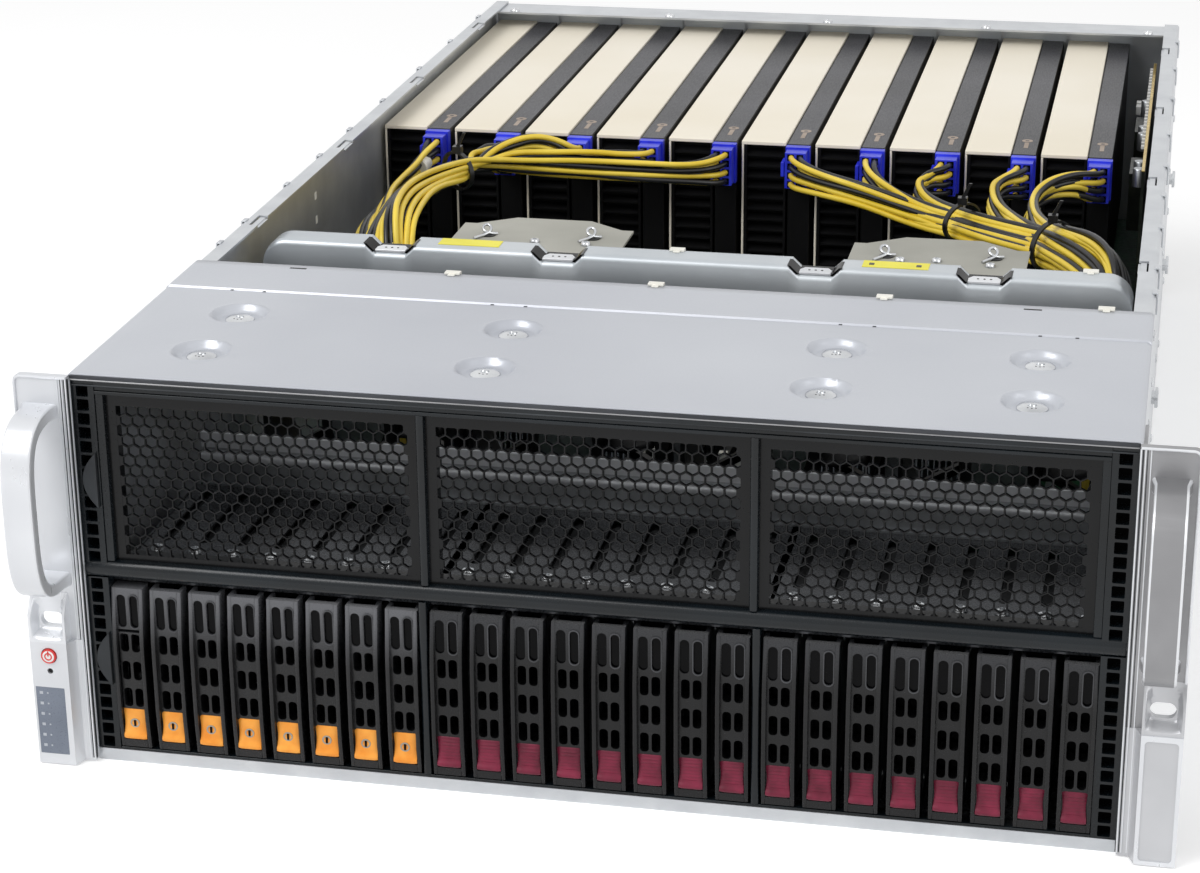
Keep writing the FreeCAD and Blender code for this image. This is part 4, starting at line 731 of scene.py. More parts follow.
def ear(side):
    """Rack ear: plate with a raised rim, a scoop narrowing to the rack slot, a lower panel, a side flange."""
    def flip(points):
        """Outline points given for the right ear, mirrored to this ear's side."""
        return np.asarray(points, float) * (side, 1.0)

    def across(*limits):
        """Distances from the middle as limits on this ear's side, lowest first."""
        return np.sort(side * np.array(limits), axis=-1)

    right = side > 0
    low, high = across(EAR_STEP, EAR_OUT)
    turn = np.linspace(0, np.pi / 2, 7)
    bend = 3 * np.stack([np.sin(turn), np.cos(turn)], -1)
    outline = [[(EAR_IN, PANEL_TOP), (EAR_IN, 177)], bend + (238.3, 174),
               [(EAR_OUT, SCOOP_TOP), (EAR_STEP, SCOOP_TOP), (EAR_STEP, PANEL_TOP)]]
    plate_y, panel_y = -3, -9
    surfaces = [prism(flip(np.concatenate(outline)), (plate_y, 0), "xz")]
    rim = np.concatenate([[(217.9, 176.4)], bend + (237.7, 173.4), [(240.7, 79)]])
    line = np.stack([side * rim[:, 0], np.full(len(rim), -3.3), rim[:, 1]], -1)
    angle = np.arange(8) * np.pi / 4
    bead = 0.6 * np.stack([np.cos(angle), np.sin(angle)], -1)
    out = np.array([0, -1.0, 0])
    # The rim bead takes the bright handle silver: on the darker right ear it is partly a painted highlight.
    surfaces.append(swept(bead, line, np.cross(out, heading(line)), out, 1))
    slot, arcs = rounded_loop((*across(227.3, 237.8), 63.3, 70.1), 3.3, 7)
    border = square_loop((low, high, PANEL_TOP, SCOOP_TOP), arcs)
    loops = [border]
    depths = [0.0]
    for share in np.linspace(1, 0, 12):
        loop = slot * (1 - share) + border * share
        edge = np.minimum(np.abs(loop[..., 0] - low), np.abs(loop[..., 0] - high))
        horn = eased(1 - (edge - 0.9) / 2.2) * eased((80.5 - loop[..., 1]) / 11)
        sill = eased(1 - (loop[..., 1] - 58.8) / 4.4)
        loops.append(loop)
        depths.append(-3.1 - 5.9 * (1 - (1 - horn) * (1 - sill)))
    # The right scoop takes the panel grey and the left one the bright silver: painted shade on the right.
    surfaces.append(stacked(loops + [slot], depths + [0.0], 3 if right else 1))
    shoulder = [(EAR_IN, 0), (EAR_IN, plate_y), (222.6, -3.4), (EAR_STEP, panel_y)]
    deep = (panel_y, plate_y)
    panel_z = (0.6, PANEL_TOP)
    if right:
        surfaces += [prism(flip(shoulder + [(EAR_OUT, panel_y), (EAR_OUT, 0)]), panel_z, "xy", 3),
                     windows((low, high, *panel_z), (low + 1.6, high - 1.6, 2.4, 55.6), 1.6,
                             (-9.5, panel_y), 1)]
    else:
        surfaces += [prism(flip(shoulder + [(EAR_STEP, 0)]), panel_z, "xy"),
                     windows((low, high, 47.4, PANEL_TOP), (-236.6, -229.4, 48.4, 55.6), 3.55, deep, steps=9),
                     windows((low, high, 41, 47.4), (-234.3, -231.7, 43.5, 46.1), 1.28, deep, steps=7),
                     windows((low, high, 0.6, 41), (-240.35, -227.25, 5.35, 37.05), 0.4, (panel_y, -7.9),
                             steps=3),
                     blocks((low, high), ((-7.9, 0), (plate_y, 0)), ((0.6, 41), (41, PANEL_TOP)))]
    ridges = across((217.6, 218.2), (219.4, 219.9), (221.6, 222.0))
    seams = across((217.2, 217.6), (218.5, 219.0), (220.3, 220.6))
    surfaces += [blocks(across(HALF_W, 220.0), (0, 40), (8, 170)),
                 # Ridges take the bright handle silver, partly a painted highlight; the seams are dark
                 # joints.
                 blocks(ridges, ((-3.9, -2.9), (-3.6, -2.9), (-3.4, -2.9)), (2, 176), 1),
                 blocks(seams, ((-3.2, -2.0), (-3.25, -2.9), (-3.2, -2.9)), (2, 176), 2)]
    name = "right_ear" if right else "left_ear"
    # The right ear plate takes the darker brushed silver where the left one is pale: painted shade.
    tones = [BRUSHED if right else EAR_SILVER, HANDLE_SILVER, INNER_DARK, EAR_PANEL]
    piece(name + "_plate", tones, surfaces, [name])
    heads = [(side * 220.0, 20.0, z) for z in (22.0, 66.0, 112.0, 156.0)]
    screws(name + "_screws", heads, (side, 0, 0), 2.6, 1.3)


def ear_controls():
    """Marks on the left ear: a pale disc with a red ring and stroke, and plain marks in the status window."""
    outer = rounded_loop((-234.75, -231.25, 50.25, 53.75), 1.74, 7)[0]
    inner = rounded_loop((-234.2, -231.8, 50.8, 53.2), 1.19, 7)[0]
    disc = [(2.6, -0.1), (2.6, 0.14), (2.35, 0.2), (0.5, 0.2)]
    mark = [turned(disc, [(-233.0, -9.8, 52.0)], (0, -1, 0), 22), collar(outer, inner, -10.1, -9.95, 1),
            blocks((-233.3, -232.7), (-10.12, -9.9), (52.2, 54.5), 1)]
    piece("power_mark", [MARK_WHITE, BUTTON_RED], mark, body="power_button")
    z = 8.6 + 5.0 * np.arange(6)
    proud = (-9.08, -8.9)
    marks = [blocks((-238.7, -237.2), proud, spans(z, 0, 1.3)),
             blocks((-235.4, -234.7), proud, spans(z, 0.3, 1.0))]
    piece("status_marks", STATUS_PALE, marks, bevel=0.05)


def about_fan(x, half):
    """Limits (x0, x1, z0, z1) of a square about a fan's middle."""
    return x - half, x + half, FAN_Z - half, FAN_Z + half


def fan_wall():
    """Fan bulkhead: face cells with a fan opening each, rolled top edge and a flange sunk at four notches."""
    steps = np.array([7.3, 7.5, 7.7, 9.8, 11.8, 12.0, 12.2])
    corner = np.array([0, 2, 4, 6, 8, 9.5, 10.8, 11.6, 11.95])
    straight = 196
    end_r = 12
    roll_r = 3
    low, high = 36, 140
    rim = 30.0
    x = [np.linspace(-straight, straight, 50), straight + corner, -straight - corner]
    for middle in NOTCH_X:
        x += [middle - steps, middle + steps]
    x = np.unique(np.concatenate(x))
    roll = np.linspace(0, np.pi / 2, 7)
    back = np.concatenate([[0.0], roll_r - roll_r * np.cos(roll), [4.5, 6, 8, 10, 12, 14, FLANGE_D]])
    rise = np.concatenate([[0.0], rim - roll_r + roll_r * np.sin(roll), np.full(7, rim)])
    across, deep = np.meshgrid(x, back)
    sunk = np.zeros_like(across)
    for middle in NOTCH_X:
        sunk = np.maximum(sunk, np.clip((12.0 - np.abs(across - middle)) / 4.5, 0, 1))
    drop = end_r - np.sqrt(end_r ** 2 - np.clip(np.abs(across) - straight, 0, end_r) ** 2)
    height = high + rise[:, None] * (1 - drop / rim) - 4.3 * sunk * (rise[:, None] > 0)
    flange = (np.stack([across, WALL_Y + deep, height], -1), [grid_faces(len(back), len(x))])
    piece("fan_wall_flange", BRIGHT_ZINC, [flange], ["cross_wall"], thick=1.2)
    slope = np.array([(12.9, 170.25), (11.4, 170.05), (7.4, 166.2), (8.6, 165.95)])
    pad = np.array([(-7.6, 1.6), (7.6, 1.6), (7.6, 6.4), (5.6, 9.8), (-5.6, 9.8), (-7.6, 6.4)])
    gaps = []
    tabs = []
    for middle in NOTCH_X:
        for side in SIDES:
            # Black slivers down each notch side and a black floor behind each tab are painted shade, where
            # the cut notch falls dark.
            gaps.append(prism(slope * (side, 1) + (middle, 0), (WALL_Y + 0.4, WALL_Y + 11), "xz"))
        gaps.append(blocks((middle - 8.0, middle + 8.0), (WALL_Y + 10.6, WALL_Y + FLANGE_D), (165.6, 166.0)))
        tabs.append(prism(pad + (middle, WALL_Y), (165.6, 167.0), "xy"))
        pins = [(middle + a, WALL_Y + 5.4, 167.0) for a in (-3.0, 0.0, 3.0)]
        gaps.append(turned([(0.6, -0.2), (0.6, 0.12), (0.3, 0.16)], pins, UP, 8))
    piece("notch_gaps", LAMP_BLACK, gaps, bevel=0.08)
    piece("notch_tabs", EAR_SILVER, tabs, bevel=0.4)
    sheet = (WALL_Y, WALL_Y + 1.2)
    cells = [(middle - 51, middle + 51, low, high) for middle in FAN_X]
    holes = [about_fan(middle, FAN_BORE) for middle in FAN_X]
    face = windows(cells, holes, 43.5, sheet, steps=13)
    ends = blocks(((-208, -204), (204, 208), (-208, 208)), sheet, ((low, high), (low, high), (1.4, low)))
    piece("fan_wall_face", BRIGHT_ZINC, [face, ends])
    strips = [blocks(((-121, -91), (83, 114)), (WALL_Y + 5, WALL_Y + 14.8), (WALL_TOP, WALL_TOP + 0.25)),
              blocks(((86, 88.4), (108, 110.4)), (WALL_Y + 8, WALL_Y + 11),
                     (WALL_TOP + 0.2, WALL_TOP + 0.4), 1)]
    piece("yellow_strips", [STRIP_YELLOW, WIRE_BLACK], strips, bevel=0.1)


def edge_clips():
    """White edge clips: small hooked sections over the rear edges of the cover and the bulkhead."""
    hook = np.array([(-2.2, 0.9), (1.6, 0.9), (2.0, 0.4), (2.0, -3.2), (1.0, -3.2), (1.0, -0.2),
                     (-2.2, -0.2)])
    spots = [(x, COVER_D + 0.4, 178.6) for x in (-95, -1, 101.5, 198)]
    spots += [(x, WALL_Y + 15.4, 170.2) for x in (-6, 188)]
    surfaces = []
    for x, y, z in spots:
        surfaces.append(prism(hook + (y, z), (x - 3.6, x + 3.6), "yz"))
        surfaces.append(blocks((x - 1.6, x + 1.6), (y - 4.2, y - 2.0), (z - 0.2, z + 0.5)))
    piece("edge_clips", CLIP_WHITE, surfaces, bevel=0.25)


def accelerator_cards():
    """Ten cards: cream shroud, black body with a louvred air mouth, dark top strip, slotted bracket."""
    left = np.array(CARD_X)
    front, rear = CARD_Y
    floor, top = 66, 162.8
    mouth_back = 467.4
    mouth = (front, mouth_back)
    shroud = [blocks(spans(left, 0, 24.6), CARD_Y, (top, 165)),
              blocks(spans(left, 0, 1.3), CARD_Y, (floor, top))]
    piece("card_shrouds", CARD_CREAM, shroud, ["gpu_cards"], bevel=0.5)
    spots = np.insert(np.insert(left[:, None] + 31.5, 1, 489.0, 1), 2, 164.1, 1)
    strips = [blocks(spans(left, 25.4, 37.6), (460.6, rear), (161.6, 164.2)),
              turned([(3.0, 0), (3.0, 0.2), (1.2, 0.2), (1.2, 0.02)], spots, UP, 18, 1),
              blocks(spans(left, 30.3, 32.7), (474, 485), (164.1, 164.3), 1)]
    piece("card_strips", [CARD_STRIP, TAG_BEIGE], strips, bevel=0.08)
    body = [blocks(spans(left, 1.3, 37.6), (467, rear), (floor, top)),
            blocks(spans(left, 1.35, 3.0), mouth, (66.1, 162.7)),
            blocks(spans(left, 23.2, 24.55), mouth, (66.1, 162.7)),
            blocks(spans(left, 1.4, 24.5), (460.1, mouth_back), (66.2, 74)),
            blocks(spans(left, 25.6, 37.55), (461, mouth_back), (66.1, 161.6))]
    piece("card_bodies", CARD_BLACK, body, bevel=0.25)
    count = 14
    z = 77 + 6.1 * np.arange(count)
    slat = np.array([(0.0, 0.0), (4.6, 2.6), (4.6, 3.5), (0.0, 0.9)])
    points = np.zeros((len(left), count, 2, 4, 3))
    points[..., 0] = spans(left, 3.0, 23.2)[:, None, :, None]
    points[..., 1] = 461 + slat[:, 0]
    points[..., 2] = z[None, :, None, None] + slat[:, 1]
    ring = np.concatenate([grid_faces(2, 4, closed_columns=True), end_caps(2, 4)])
    louvres = (points, [repeated(ring, len(left) * count, 8)])
    piece("card_louvres", CARD_BLACK, [louvres])
    rows = 74 + 12 * np.arange(7)
    cells = [(x + 0.4, x + 39.2, low, low + 12) for x in left for low in rows]
    holes = [(x + 5, x + 34, low + 3, low + 9) for x in left for low in rows]
    wide = spans(left, 0.4, 39.2)
    brackets = [windows(cells, holes, 2.6, BRACKET_Y),
                blocks(spans(left, 4.4, 6.0), (603, 687), (64, floor), 1),
                blocks(wide, BRACKET_Y, (58, 74)), blocks(wide, BRACKET_Y, (158, 171))]
    piece("card_brackets", [BRIGHT_ZINC, GOLD], brackets)


def smooth_lines(routes):
    """Points along NURBS lines of order 3, one line for each row of control points."""
    routes = np.asarray(routes, float)
    curve = bpy.data.curves.new("routes", "CURVE")
    curve.dimensions = "3D"
    for route in routes:
        line = curve.splines.new("NURBS")
        line.points.add(len(route) - 1)
        line.points.foreach_set("co", np.column_stack([route, np.ones(len(route))]).ravel())
        line.order_u = 3
        line.use_endpoint_u = True
        line.resolution_u = 6
    holder = bpy.data.objects.new("routes", curve)
    bpy.context.scene.collection.objects.link(holder)
    mesh = bpy.data.meshes.new_from_object(holder)
    found = np.empty(len(mesh.vertices) * 3)
    mesh.vertices.foreach_get("co", found)
    bpy.data.objects.remove(holder)
    bpy.data.curves.remove(curve)
    bpy.data.meshes.remove(mesh)
    return found.reshape(len(routes), -1, 3)


def wires(lines, radius, sides=8):
    """Round tubes along lines: a circle carried along each line, square to it, with both ends closed."""
    along = heading(lines)
    lean = np.array([1.0, -1.0, 1.0]) / math.sqrt(3)
    across = np.cross(along, lean)
    across /= np.linalg.norm(across, axis=2)[..., None]
    angle = np.linspace(0, 2 * np.pi, sides, endpoint=False)
    circle = radius * np.stack([np.cos(angle), np.sin(angle)], -1)
    return [swept(circle, *station) for station in zip(lines, across, np.cross(along, across))]


def loom_routes(plugs, middles, shares, turns, tier, jitter):
    """Control points of every wire: out of its plug, then across and above each middle point of its bundle.

    Each share draws a wire from its place at the plug to its place in the tied bundle; each turn gives the
    direction across, the spread and the twist of the bundle there.
    """
    routes = []
    for order, plug in enumerate(plugs):
        for lane in range(8):
            column, row = lane % 2, lane // 2
            near = (2.5 * column - 1.25, (row - 1.5) * 3.4)
            tied = ((lane - 3.5) * 3.2, (order - 2) * tier)
            x = plug + (column - 0.5) * 5.0
            z = PLUG_Z + row * 5.0
            route = [(x, 449, z), (x, 441, z)]
            for (px, py, pz), share, (ex, ey, spread, twist) in zip(middles[order], shares, turns):
                e = near[0] * (1 - share) + tied[0] * share
                f = near[1] * (1 - share) + tied[1] * share
                over = (e * math.cos(twist) - f * math.sin(twist)) * spread
                above = (e * math.sin(twist) + f * math.cos(twist)) * spread
                shake = jitter.normal(0.0, 0.7, 3)
                route.append((px + ex * over + shake[0], py + ey * over + shake[1], pz + above + shake[2]))
            routes.append(route)
    return routes


def cable_tie(middle, along, wide, tall):
    """Strap round a bundle: a flat section carried round an ellipse, with a locking head and a cut tail."""
    along = np.array([along[0], along[1], 0.0]) / math.hypot(*along)
    across = np.array([-along[1], along[0], 0.0])
    angle = np.linspace(0, 2 * np.pi, 36, endpoint=False)[:, None]
    up = np.array([0, 0, 1.0])
    out = np.cos(angle) * across + np.sin(angle) * up
    centres = np.array(middle) + wide * np.cos(angle) * across + tall * np.sin(angle) * up
    band = swept([(-1.3, -0.6), (1.3, -0.6), (1.3, 0.6), (-1.3, 0.6)], centres, along, out, ring=True)
    x, y, z = middle
    top = z + tall
    head = blocks((x - 2.4, x + 2.4), (y - 2.4, y + 2.4), (top - 0.2, top + 3.6))
    tail = [(x - 1.0, top + 3), (x + 1.0, top + 3), (x + 4.6, top + 11), (x + 3.0, top + 11)]
    return [band, head, prism(tail, (y - 0.6, y + 0.6), "xz")]


def power_looms():
    """Two looms of forty wires each, yellow and black by turns, drawn together by black ties."""
    jitter = np.random.default_rng(7)
    plugs = [x + PLUG_SHIFT for x in CARD_X]
    end = [(-155, 395, 157), (-165, 350, 159), (-164, 308, 158), (-160, 276, 153), (-156, 264, 110),
           (-152, 266, 26)]
    left = [[(-184, 432, 152), (-186, 420, 151), (-188, 400, 151), (-188, 375, 152), (-186, 350, 153),
             (-184, 330, 155), (-182, 312, 156), (-178, 292, 156), (-170, 270, 150), (-160, 264, 110),
             (-153, 266, 26)],
            [(-146, 434, 157), (-150, 428, 158), (-153, 421, 158), (-155, 414, 158), (-156, 406, 158)] + end,
            [(-110, 437, 162), (-122, 434, 166), (-134, 428, 164), (-144, 420, 161), (-150, 408, 158)] + end,
            [(-72, 436, 157), (-90, 432, 158), (-112, 428, 158), (-132, 420, 158), (-146, 408, 157)] + end,
            [(-34, 434, 153), (-60, 428, 153), (-95, 426, 153), (-125, 418, 154), (-142, 408, 156)] + end]
    shares = [0.0, 0.1, 0.25, 0.45, 0.7] + [1.0] * 6
    turns = [(0.5, -0.8, 1.0, 0.0), (0.3, -0.9, 1.0, 0.0), (0.3, -0.9, 1.0, 0.2), (0.5, -0.8, 0.9, 0.3),
             (0.7, -0.7, 0.9, 0.3), (0.8, -0.6, 0.85, 0.3), (0.98, -0.2, 1.0, 0.6), (1, 0, 1.15, 0.9),
             (1, 0, 1.2, 0.9), (1, 0, 1.0, 0.5), (1, 0, 0.7, 0.0)]
    left_routes = loom_routes(plugs[:5], left, shares, turns, 3.2, jitter)
    end = [(165, 335, 152), (187, 303, 155), (199, 274, 152), (200, 260, 110), (196, 260, 26)]
    tied = [(117, 376, 150), (140, 356, 150)] + end
    right = [[(171, 433, 157), (156, 425, 154), (150, 408, 149), (152, 382, 147), (158, 354, 149)] + end,
             [(133, 433, 153), (129, 420, 151), (132, 402, 148), (140, 378, 147), (152, 354, 149)] + end,
             [(93, 434, 153), (88, 424, 151), (95, 404, 148)] + tied,
             [(64, 430, 152), (74, 414, 150), (94, 394, 149)] + tied,
             [(34, 428, 152), (62, 414, 151), (92, 394, 149)] + tied]
    shares = [0.0, 0.1, 0.3, 0.7, 0.8] + [1.0] * 5
    turns = [(0.6, 0.8, 1.0, 0.0), (0.7, 0.7, 1.0, 0.0), (0.6, 0.8, 0.95, 0.2), (0.6, 0.8, 0.8, 0.3),
             (0.6, 0.8, 0.85, 0.3), (0.6, 0.8, 0.85, 0.4), (0.6, 0.8, 0.95, 0.8), (0.75, 0.66, 0.8, 1.0),
             (1, 0, 0.7, 0.8), (1, 0, 0.6, 0.0)]
    right_routes = loom_routes(plugs[:4:-1], right, shares, turns, -3.2, jitter)
    yellow = []
    black = []
    for routes, lanes in ((left_routes, (0, 3, 4, 7)), (right_routes, (0, 2, 5, 6))):
        lines = smooth_lines(routes)
        bright = np.isin(np.arange(len(lines)) % 8, lanes)
        yellow += wires(lines[bright], 1.6)
        black += wires(lines[~bright], 1.6)
    piece("yellow_wires", WIRE_YELLOW, yellow, ["gpu_power_looms"], sharp=60)
    piece("black_wires", WIRE_BLACK, black, sharp=60)
    ties = cable_tie((-155, 395, 159), (-0.65, -0.76), 13.0, 10.0)
    ties += cable_tie((117, 376, 150), (0.8, -0.6), 13.0, 9.5)
    ties += cable_tie((165, 335, 152), (0.8, -0.6), 15.0, 12.5)
    piece("cable_ties", WIRE_BLACK, ties, sharp=45)
    sleeve = [(3.6, -0.4), (4.6, 0.6), (4.8, 5.0), (4.6, 9.4), (3.6, 10.4)]
    cuff = turned(sleeve, [(-184.5, 434.0, 151.5)], (0, -1, 0), 18)
    piece("wire_sleeve", CLIP_WHITE, [cuff])


def power_plugs():
    """Blue eight-way plugs: body, collar, latch with a thumb tab, and dark wire sockets in the front face."""
    middle = np.array(CARD_X) + PLUG_SHIFT
    parts = [blocks(around(middle, 11.4), (446, 459.8), (143, 163)),
             blocks(around(middle, 13.2), (454.8, 459.8), (142.1, 163.9)),
             blocks(spans(middle, -8.2, -6.4), (448, 458), (149, 157)),
             blocks(spans(middle, -7.2, -5.4), (452, 456), (150, 156))]
    for side in (-2.5, 2.5):
        for z in PLUG_Z + 5.0 * np.arange(4):
            parts.append(blocks(around(middle + side, 3.8), (445.9, 446.4), (z - 1.9, z + 1.9), 1))
    piece("power_plugs", [PLUG_BLUE, LAMP_BLACK], parts, ["gpu_power_plugs"], bevel=0.35)


def shelf_and_riser_fittings():
    """Wire loops and screws on the shelves; contact edge, chips and small parts on the upright board."""
    bend = np.array([(-4.6, -7.0, 0.7), (-2.4, -3.6, 0.9), (0.4, -0.4, 1.2), (2.2, 1.8, 2.6), (1.2, 4.4, 4.4),
                     (-1.4, 4.6, 4.8), (-2.4, 2.0, 3.6), (-0.6, 0.0, 2.2), (2.4, 0.8, 1.2), (4.8, 3.0, 0.7)])
    spots = np.array([(x, y, SHELF_Z) for x, y in ((-108.0, 270), (-56.0, 273), (89.0, 269), (140.4, 274))])
    loops = wires(smooth_lines(spots[:, None] + bend), 0.75, 10)
    # Black discs under each wire loop are painted shadow: the dark patches round the loops' roots and tails.
    painted_shadow_pads = turned([(3.6, -0.2), (3.6, 0.5), (3.2, 0.7), (0.8, 0.7)], spots + (0.8, 1.6, 0), UP, 18)
    piece("wire_loops", BRIGHT_STEEL, loops, sharp=60)
    piece("loop_painted_shadows", WIRE_BLACK, [painted_shadow_pads])
    heads = ((-82.0, 263.6), (-56.4, 263), (140, 262.5), (114.3, 266), (97, 264))
    screws("shelf_screws", [(x, y, SHELF_Z) for x, y in heads], UP, 2.6, 2.0)
    edges = [blocks((204.9, 206.7), (452, 700), (159.6, 160.5)),
             blocks((209.6, 210.8), (300, 640), (158.6, 160.4))]
    piece("riser_edge", GOLD, edges, bevel=0.2)
    y = 508 + 7.6 * np.arange(25)
    chips = [blocks((203.0, 204.9), spans(y, 0, 2.4), (157.2, 159.0)),
             blocks([(197.0, 200.2)] * 2 + [(201.2, 204.8)] * 2, [(628, 634), (637, 643)] * 2, (146, 151))]
    piece("riser_parts", MARK_WHITE, chips, bevel=0.2)
    bosses = [(203.4, y, 152.0) for y in (470, 485, 545, 560, 620)]
    cans = turned([(3.4, -5), (3.4, 4.2), (3.0, 4.8), (1.0, 4.9)], bosses, UP, 16)
    piece("riser_cans", SUPPLY_METAL, [cans])


def tray_fittings():
    """Lid hooks in the tray's flange slots, edge tabs, rail studs and rivets on the sides, rear screws."""
    hook = np.array([(209.2, 174.6), (213.2, 174.6), (213.2, 176.0), (210.4, 176.0), (210.4, 175.4),
                     (209.2, 175.4)])
    tab = np.array([(218.6, 167), (219.4, 167), (219.4, 176.6), (218.8, 177.2), (216.8, 177.2),
                    (216.8, 176.4), (218.6, 176.4)])
    stud = [(3.4, -0.2), (3.4, 1.6), (5.2, 1.6), (5.2, 3.0), (4.6, 3.4), (1.4, 3.4)]
    hook_y = COVER_D + 145 * (np.arange(4) + 0.5)
    tab_y = (191.0, 228, 294, 350, 405, 470, 548, 620, 690)
    rivet_y = (175.0, 232.0, 440.0, 600.0, 725.0)
    tabs = []
    studs = []
    for side in SIDES:
        tabs += [prism(hook * (side, 1), (y - 7.2, y + 7.2), "xz") for y in hook_y]
        tabs += [prism(tab * (side, 1), (y - 2.4, y + 2.4), "xz") for y in tab_y]
        pins = [(side * HALF_W, y, 88.0) for y in (75.0, 300.0, 520.0, 700.0)]
        rivets = [(side * HALF_W, y, z) for y in rivet_y for z in (14.0, 60.0, 120.0, 162.0)]
        studs += [turned(stud, pins, (side, 0, 0), 20), screw_heads(rivets, (side, 0, 0), 2.4, 1.0)]
    piece("lid_hooks", ZINC, tabs, bevel=0.2)
    piece("side_studs", BRIGHT_STEEL, studs)
    heads = [(x, 715.0, 175.2) for x in (-200.0, -99.0, 2.0, 101.0, 200.0)]
    faces = [(x + 19.8, BRACKET_Y[1], 165.0) for x in CARD_X]
    faces += [(side * 213.0, 737.0, z) for side in SIDES for z in (60.0, 110.0, 160.0)]
    rear = [screw_heads(heads, UP, 3.0, 1.6), screw_heads(faces, (0, 1, 0), 2.6, 1.4)]
    piece("rear_screws", BRIGHT_STEEL, rear)
    holes = blocks((-217.4, -217.2), (336.4, 339.6), ((156, 160), (143, 147)))
    piece("wall_holes", MARK_WHITE, [holes])


def supplies():
    """Four slide-in supplies: case, slotted rear, mains inlet with blades, pull handle, release tab, lamp."""
    half = 36.7
    low, high = 2.8, 43.4
    recess, grille, rear = 724.4, 735.2, 737.4
    reach, swing = arch(3.4, 33)
    bar = rounded_loop((-1.9, 1.9, -3.9, 3.9), 1.2, 3)[0][0]
    up = np.array([0, 0, 1.0])
    lamp = [(1.5, -0.3), (1.5, 0.3), (1.1, 0.7), (0.4, 0.8)]
    for number, x in enumerate(SUPPLY_X, 1):
        cells = [(x - half + shift, x - 22.8 + shift, z, z + 8.4)
                 for shift in 13.9 * np.arange(3) for z in low + 8.4 * np.arange(3)]
        holes = [(a + 1.4, b - 1.4, z + 1.6, top - 1.6) for a, b, z, top in cells]
        inlet = (x + 6.2, x + 31.8, 8.2, 27.8)
        case = [blocks((x - half, x + half), (474, recess), (low, high)),
                blocks((x - half, x + 5), (recess, grille), (low, high)),
                blocks((x - half, x + 5), (grille, rear), (28, high)),
                windows((x + 5, x + half, low, high), (x + 6, x + 32, 8, 28), 2.0, (recess, rear), steps=4),
                windows(cells, holes, 2.5, (grille, rear)),
                blocks((x - 18, x + 18), (466, 474), (20, 22), 2),
                windows(inlet, (x + 7.4, x + 30.6, 9.4, 26.6), 3.6, (724.5, 737.8), 1),
                blocks((x - 35.6, x + 4), (735.1, 735.3), (3.6, 27.4), 1),
                blocks(around([x + 12, x + 26, x + 19], 2.0), (recess, 734),
                       ((14, 18.4), (14, 18.4), (20, 24.4)), 3)]
        name = "psu_%d" % number
        piece("supply_case_%d" % number, [SUPPLY_METAL, BUTTON_BLACK, GOLD, BRIGHT_STEEL], case,
              [name], body=name)
        centres = np.stack([x - 17 + 13.9 * swing, 737.2 + 17.8 * reach, np.full_like(reach, 34.0)], -1)
        pull = [swept(bar, centres, np.cross(up, heading(centres)), up),
                blocks((x + 1.2, x + 4.4), (rear, 743.5), (31.5, 40.5), 1),
                turned(lamp, [(x + 27, rear, 36.0)], (0, 1, 0), 14, 2)]
        piece("supply_pull_%d" % number, [FRAME_BLACK, CATCH_MAROON, LAMP_GREEN], pull,
              body=name)


def fans():
    """Four fans: a frame of two flanges, a tube and struts, and a rotor of a domed hub and twisted blades."""
    frames = []
    for x in FAN_X:
        cell = about_fan(x, 46)
        hole = about_fan(x, FAN_BORE)
        inner = rounded_loop(hole, 43.98, 13)[0]
        outer = rounded_loop(about_fan(x, 45.6), 45.58, 13)[0]
        frames += [windows(cell, hole, 43.98, depth, steps=13) for depth in ((184, 188), (217.8, 221.8))]
        frames.append(collar(outer, inner, 187.9, 217.9))
        for angle in np.radians((90.0, 210.0, 330.0)):
            way = np.array([np.cos(angle), np.sin(angle)])
            side = np.array([-way[1], way[0]]) * 2.0
            inside, outside = way * 12, way * 44.2
            strut = np.array([inside - side, outside - side, outside + side, inside + side])
            frames.append(prism(strut + (x, FAN_Z), (216.6, 221.6), "xz"))
        frames.append(turned([(19, 0), (19, 4.6), (18, 5.2), (4, 5.2)], [(x, 216.6, FAN_Z)], (0, 1, 0), 30))
    piece("fan_shells", FAN_PLASTIC, frames, ["fan_frames"], bevel=0.3)
    root, tip = 17.5, 41.0
    radius, chord = np.meshgrid(np.linspace(root, tip, 12), np.linspace(-0.5, 0.5, 9), indexing="ij")
    share = (radius - root) / (tip - root)
    width = chord * (16 + 9 * share)
    pitch = np.radians(52 - 22 * share)
    bow = 1.6 * (1 - 4 * chord ** 2)
    flat = width * np.cos(pitch) - bow * np.sin(pitch)
    lift = width * np.sin(pitch) + bow * np.cos(pitch)
    for number, x in enumerate(FAN_X, 1):
        middle = np.array([x, 198.0, FAN_Z])
        blades = []
        for turn in 2 * np.pi * np.arange(5) / 5:
            angle = turn + 0.22 * share
            across = radius * np.cos(angle) - flat * np.sin(angle)
            rise = radius * np.sin(angle) + flat * np.cos(angle)
            blades.append((middle + np.stack([across, lift, rise], -1), [grid_faces(*radius.shape)]))
        name = "fan_rotor_%d" % number
        piece("fan_blades_%d" % number, FAN_PLASTIC, blades, [name], body=name, thick=1.4,
              sharp=60)
        hub = turned([(19, -9), (19, 6.4), (17.8, 8.2), (14, 9), (5, 9.2)], [middle], (0, -1, 0), 36)
        cap = turned([(13, 9.0), (13, 9.3), (12.4, 9.5), (1, 9.6)], [middle], (0, -1, 0), 30, 1)
        piece("fan_hub_%d" % number, [FAN_PLASTIC, SUPPLY_METAL], [hub, cap], body=name)


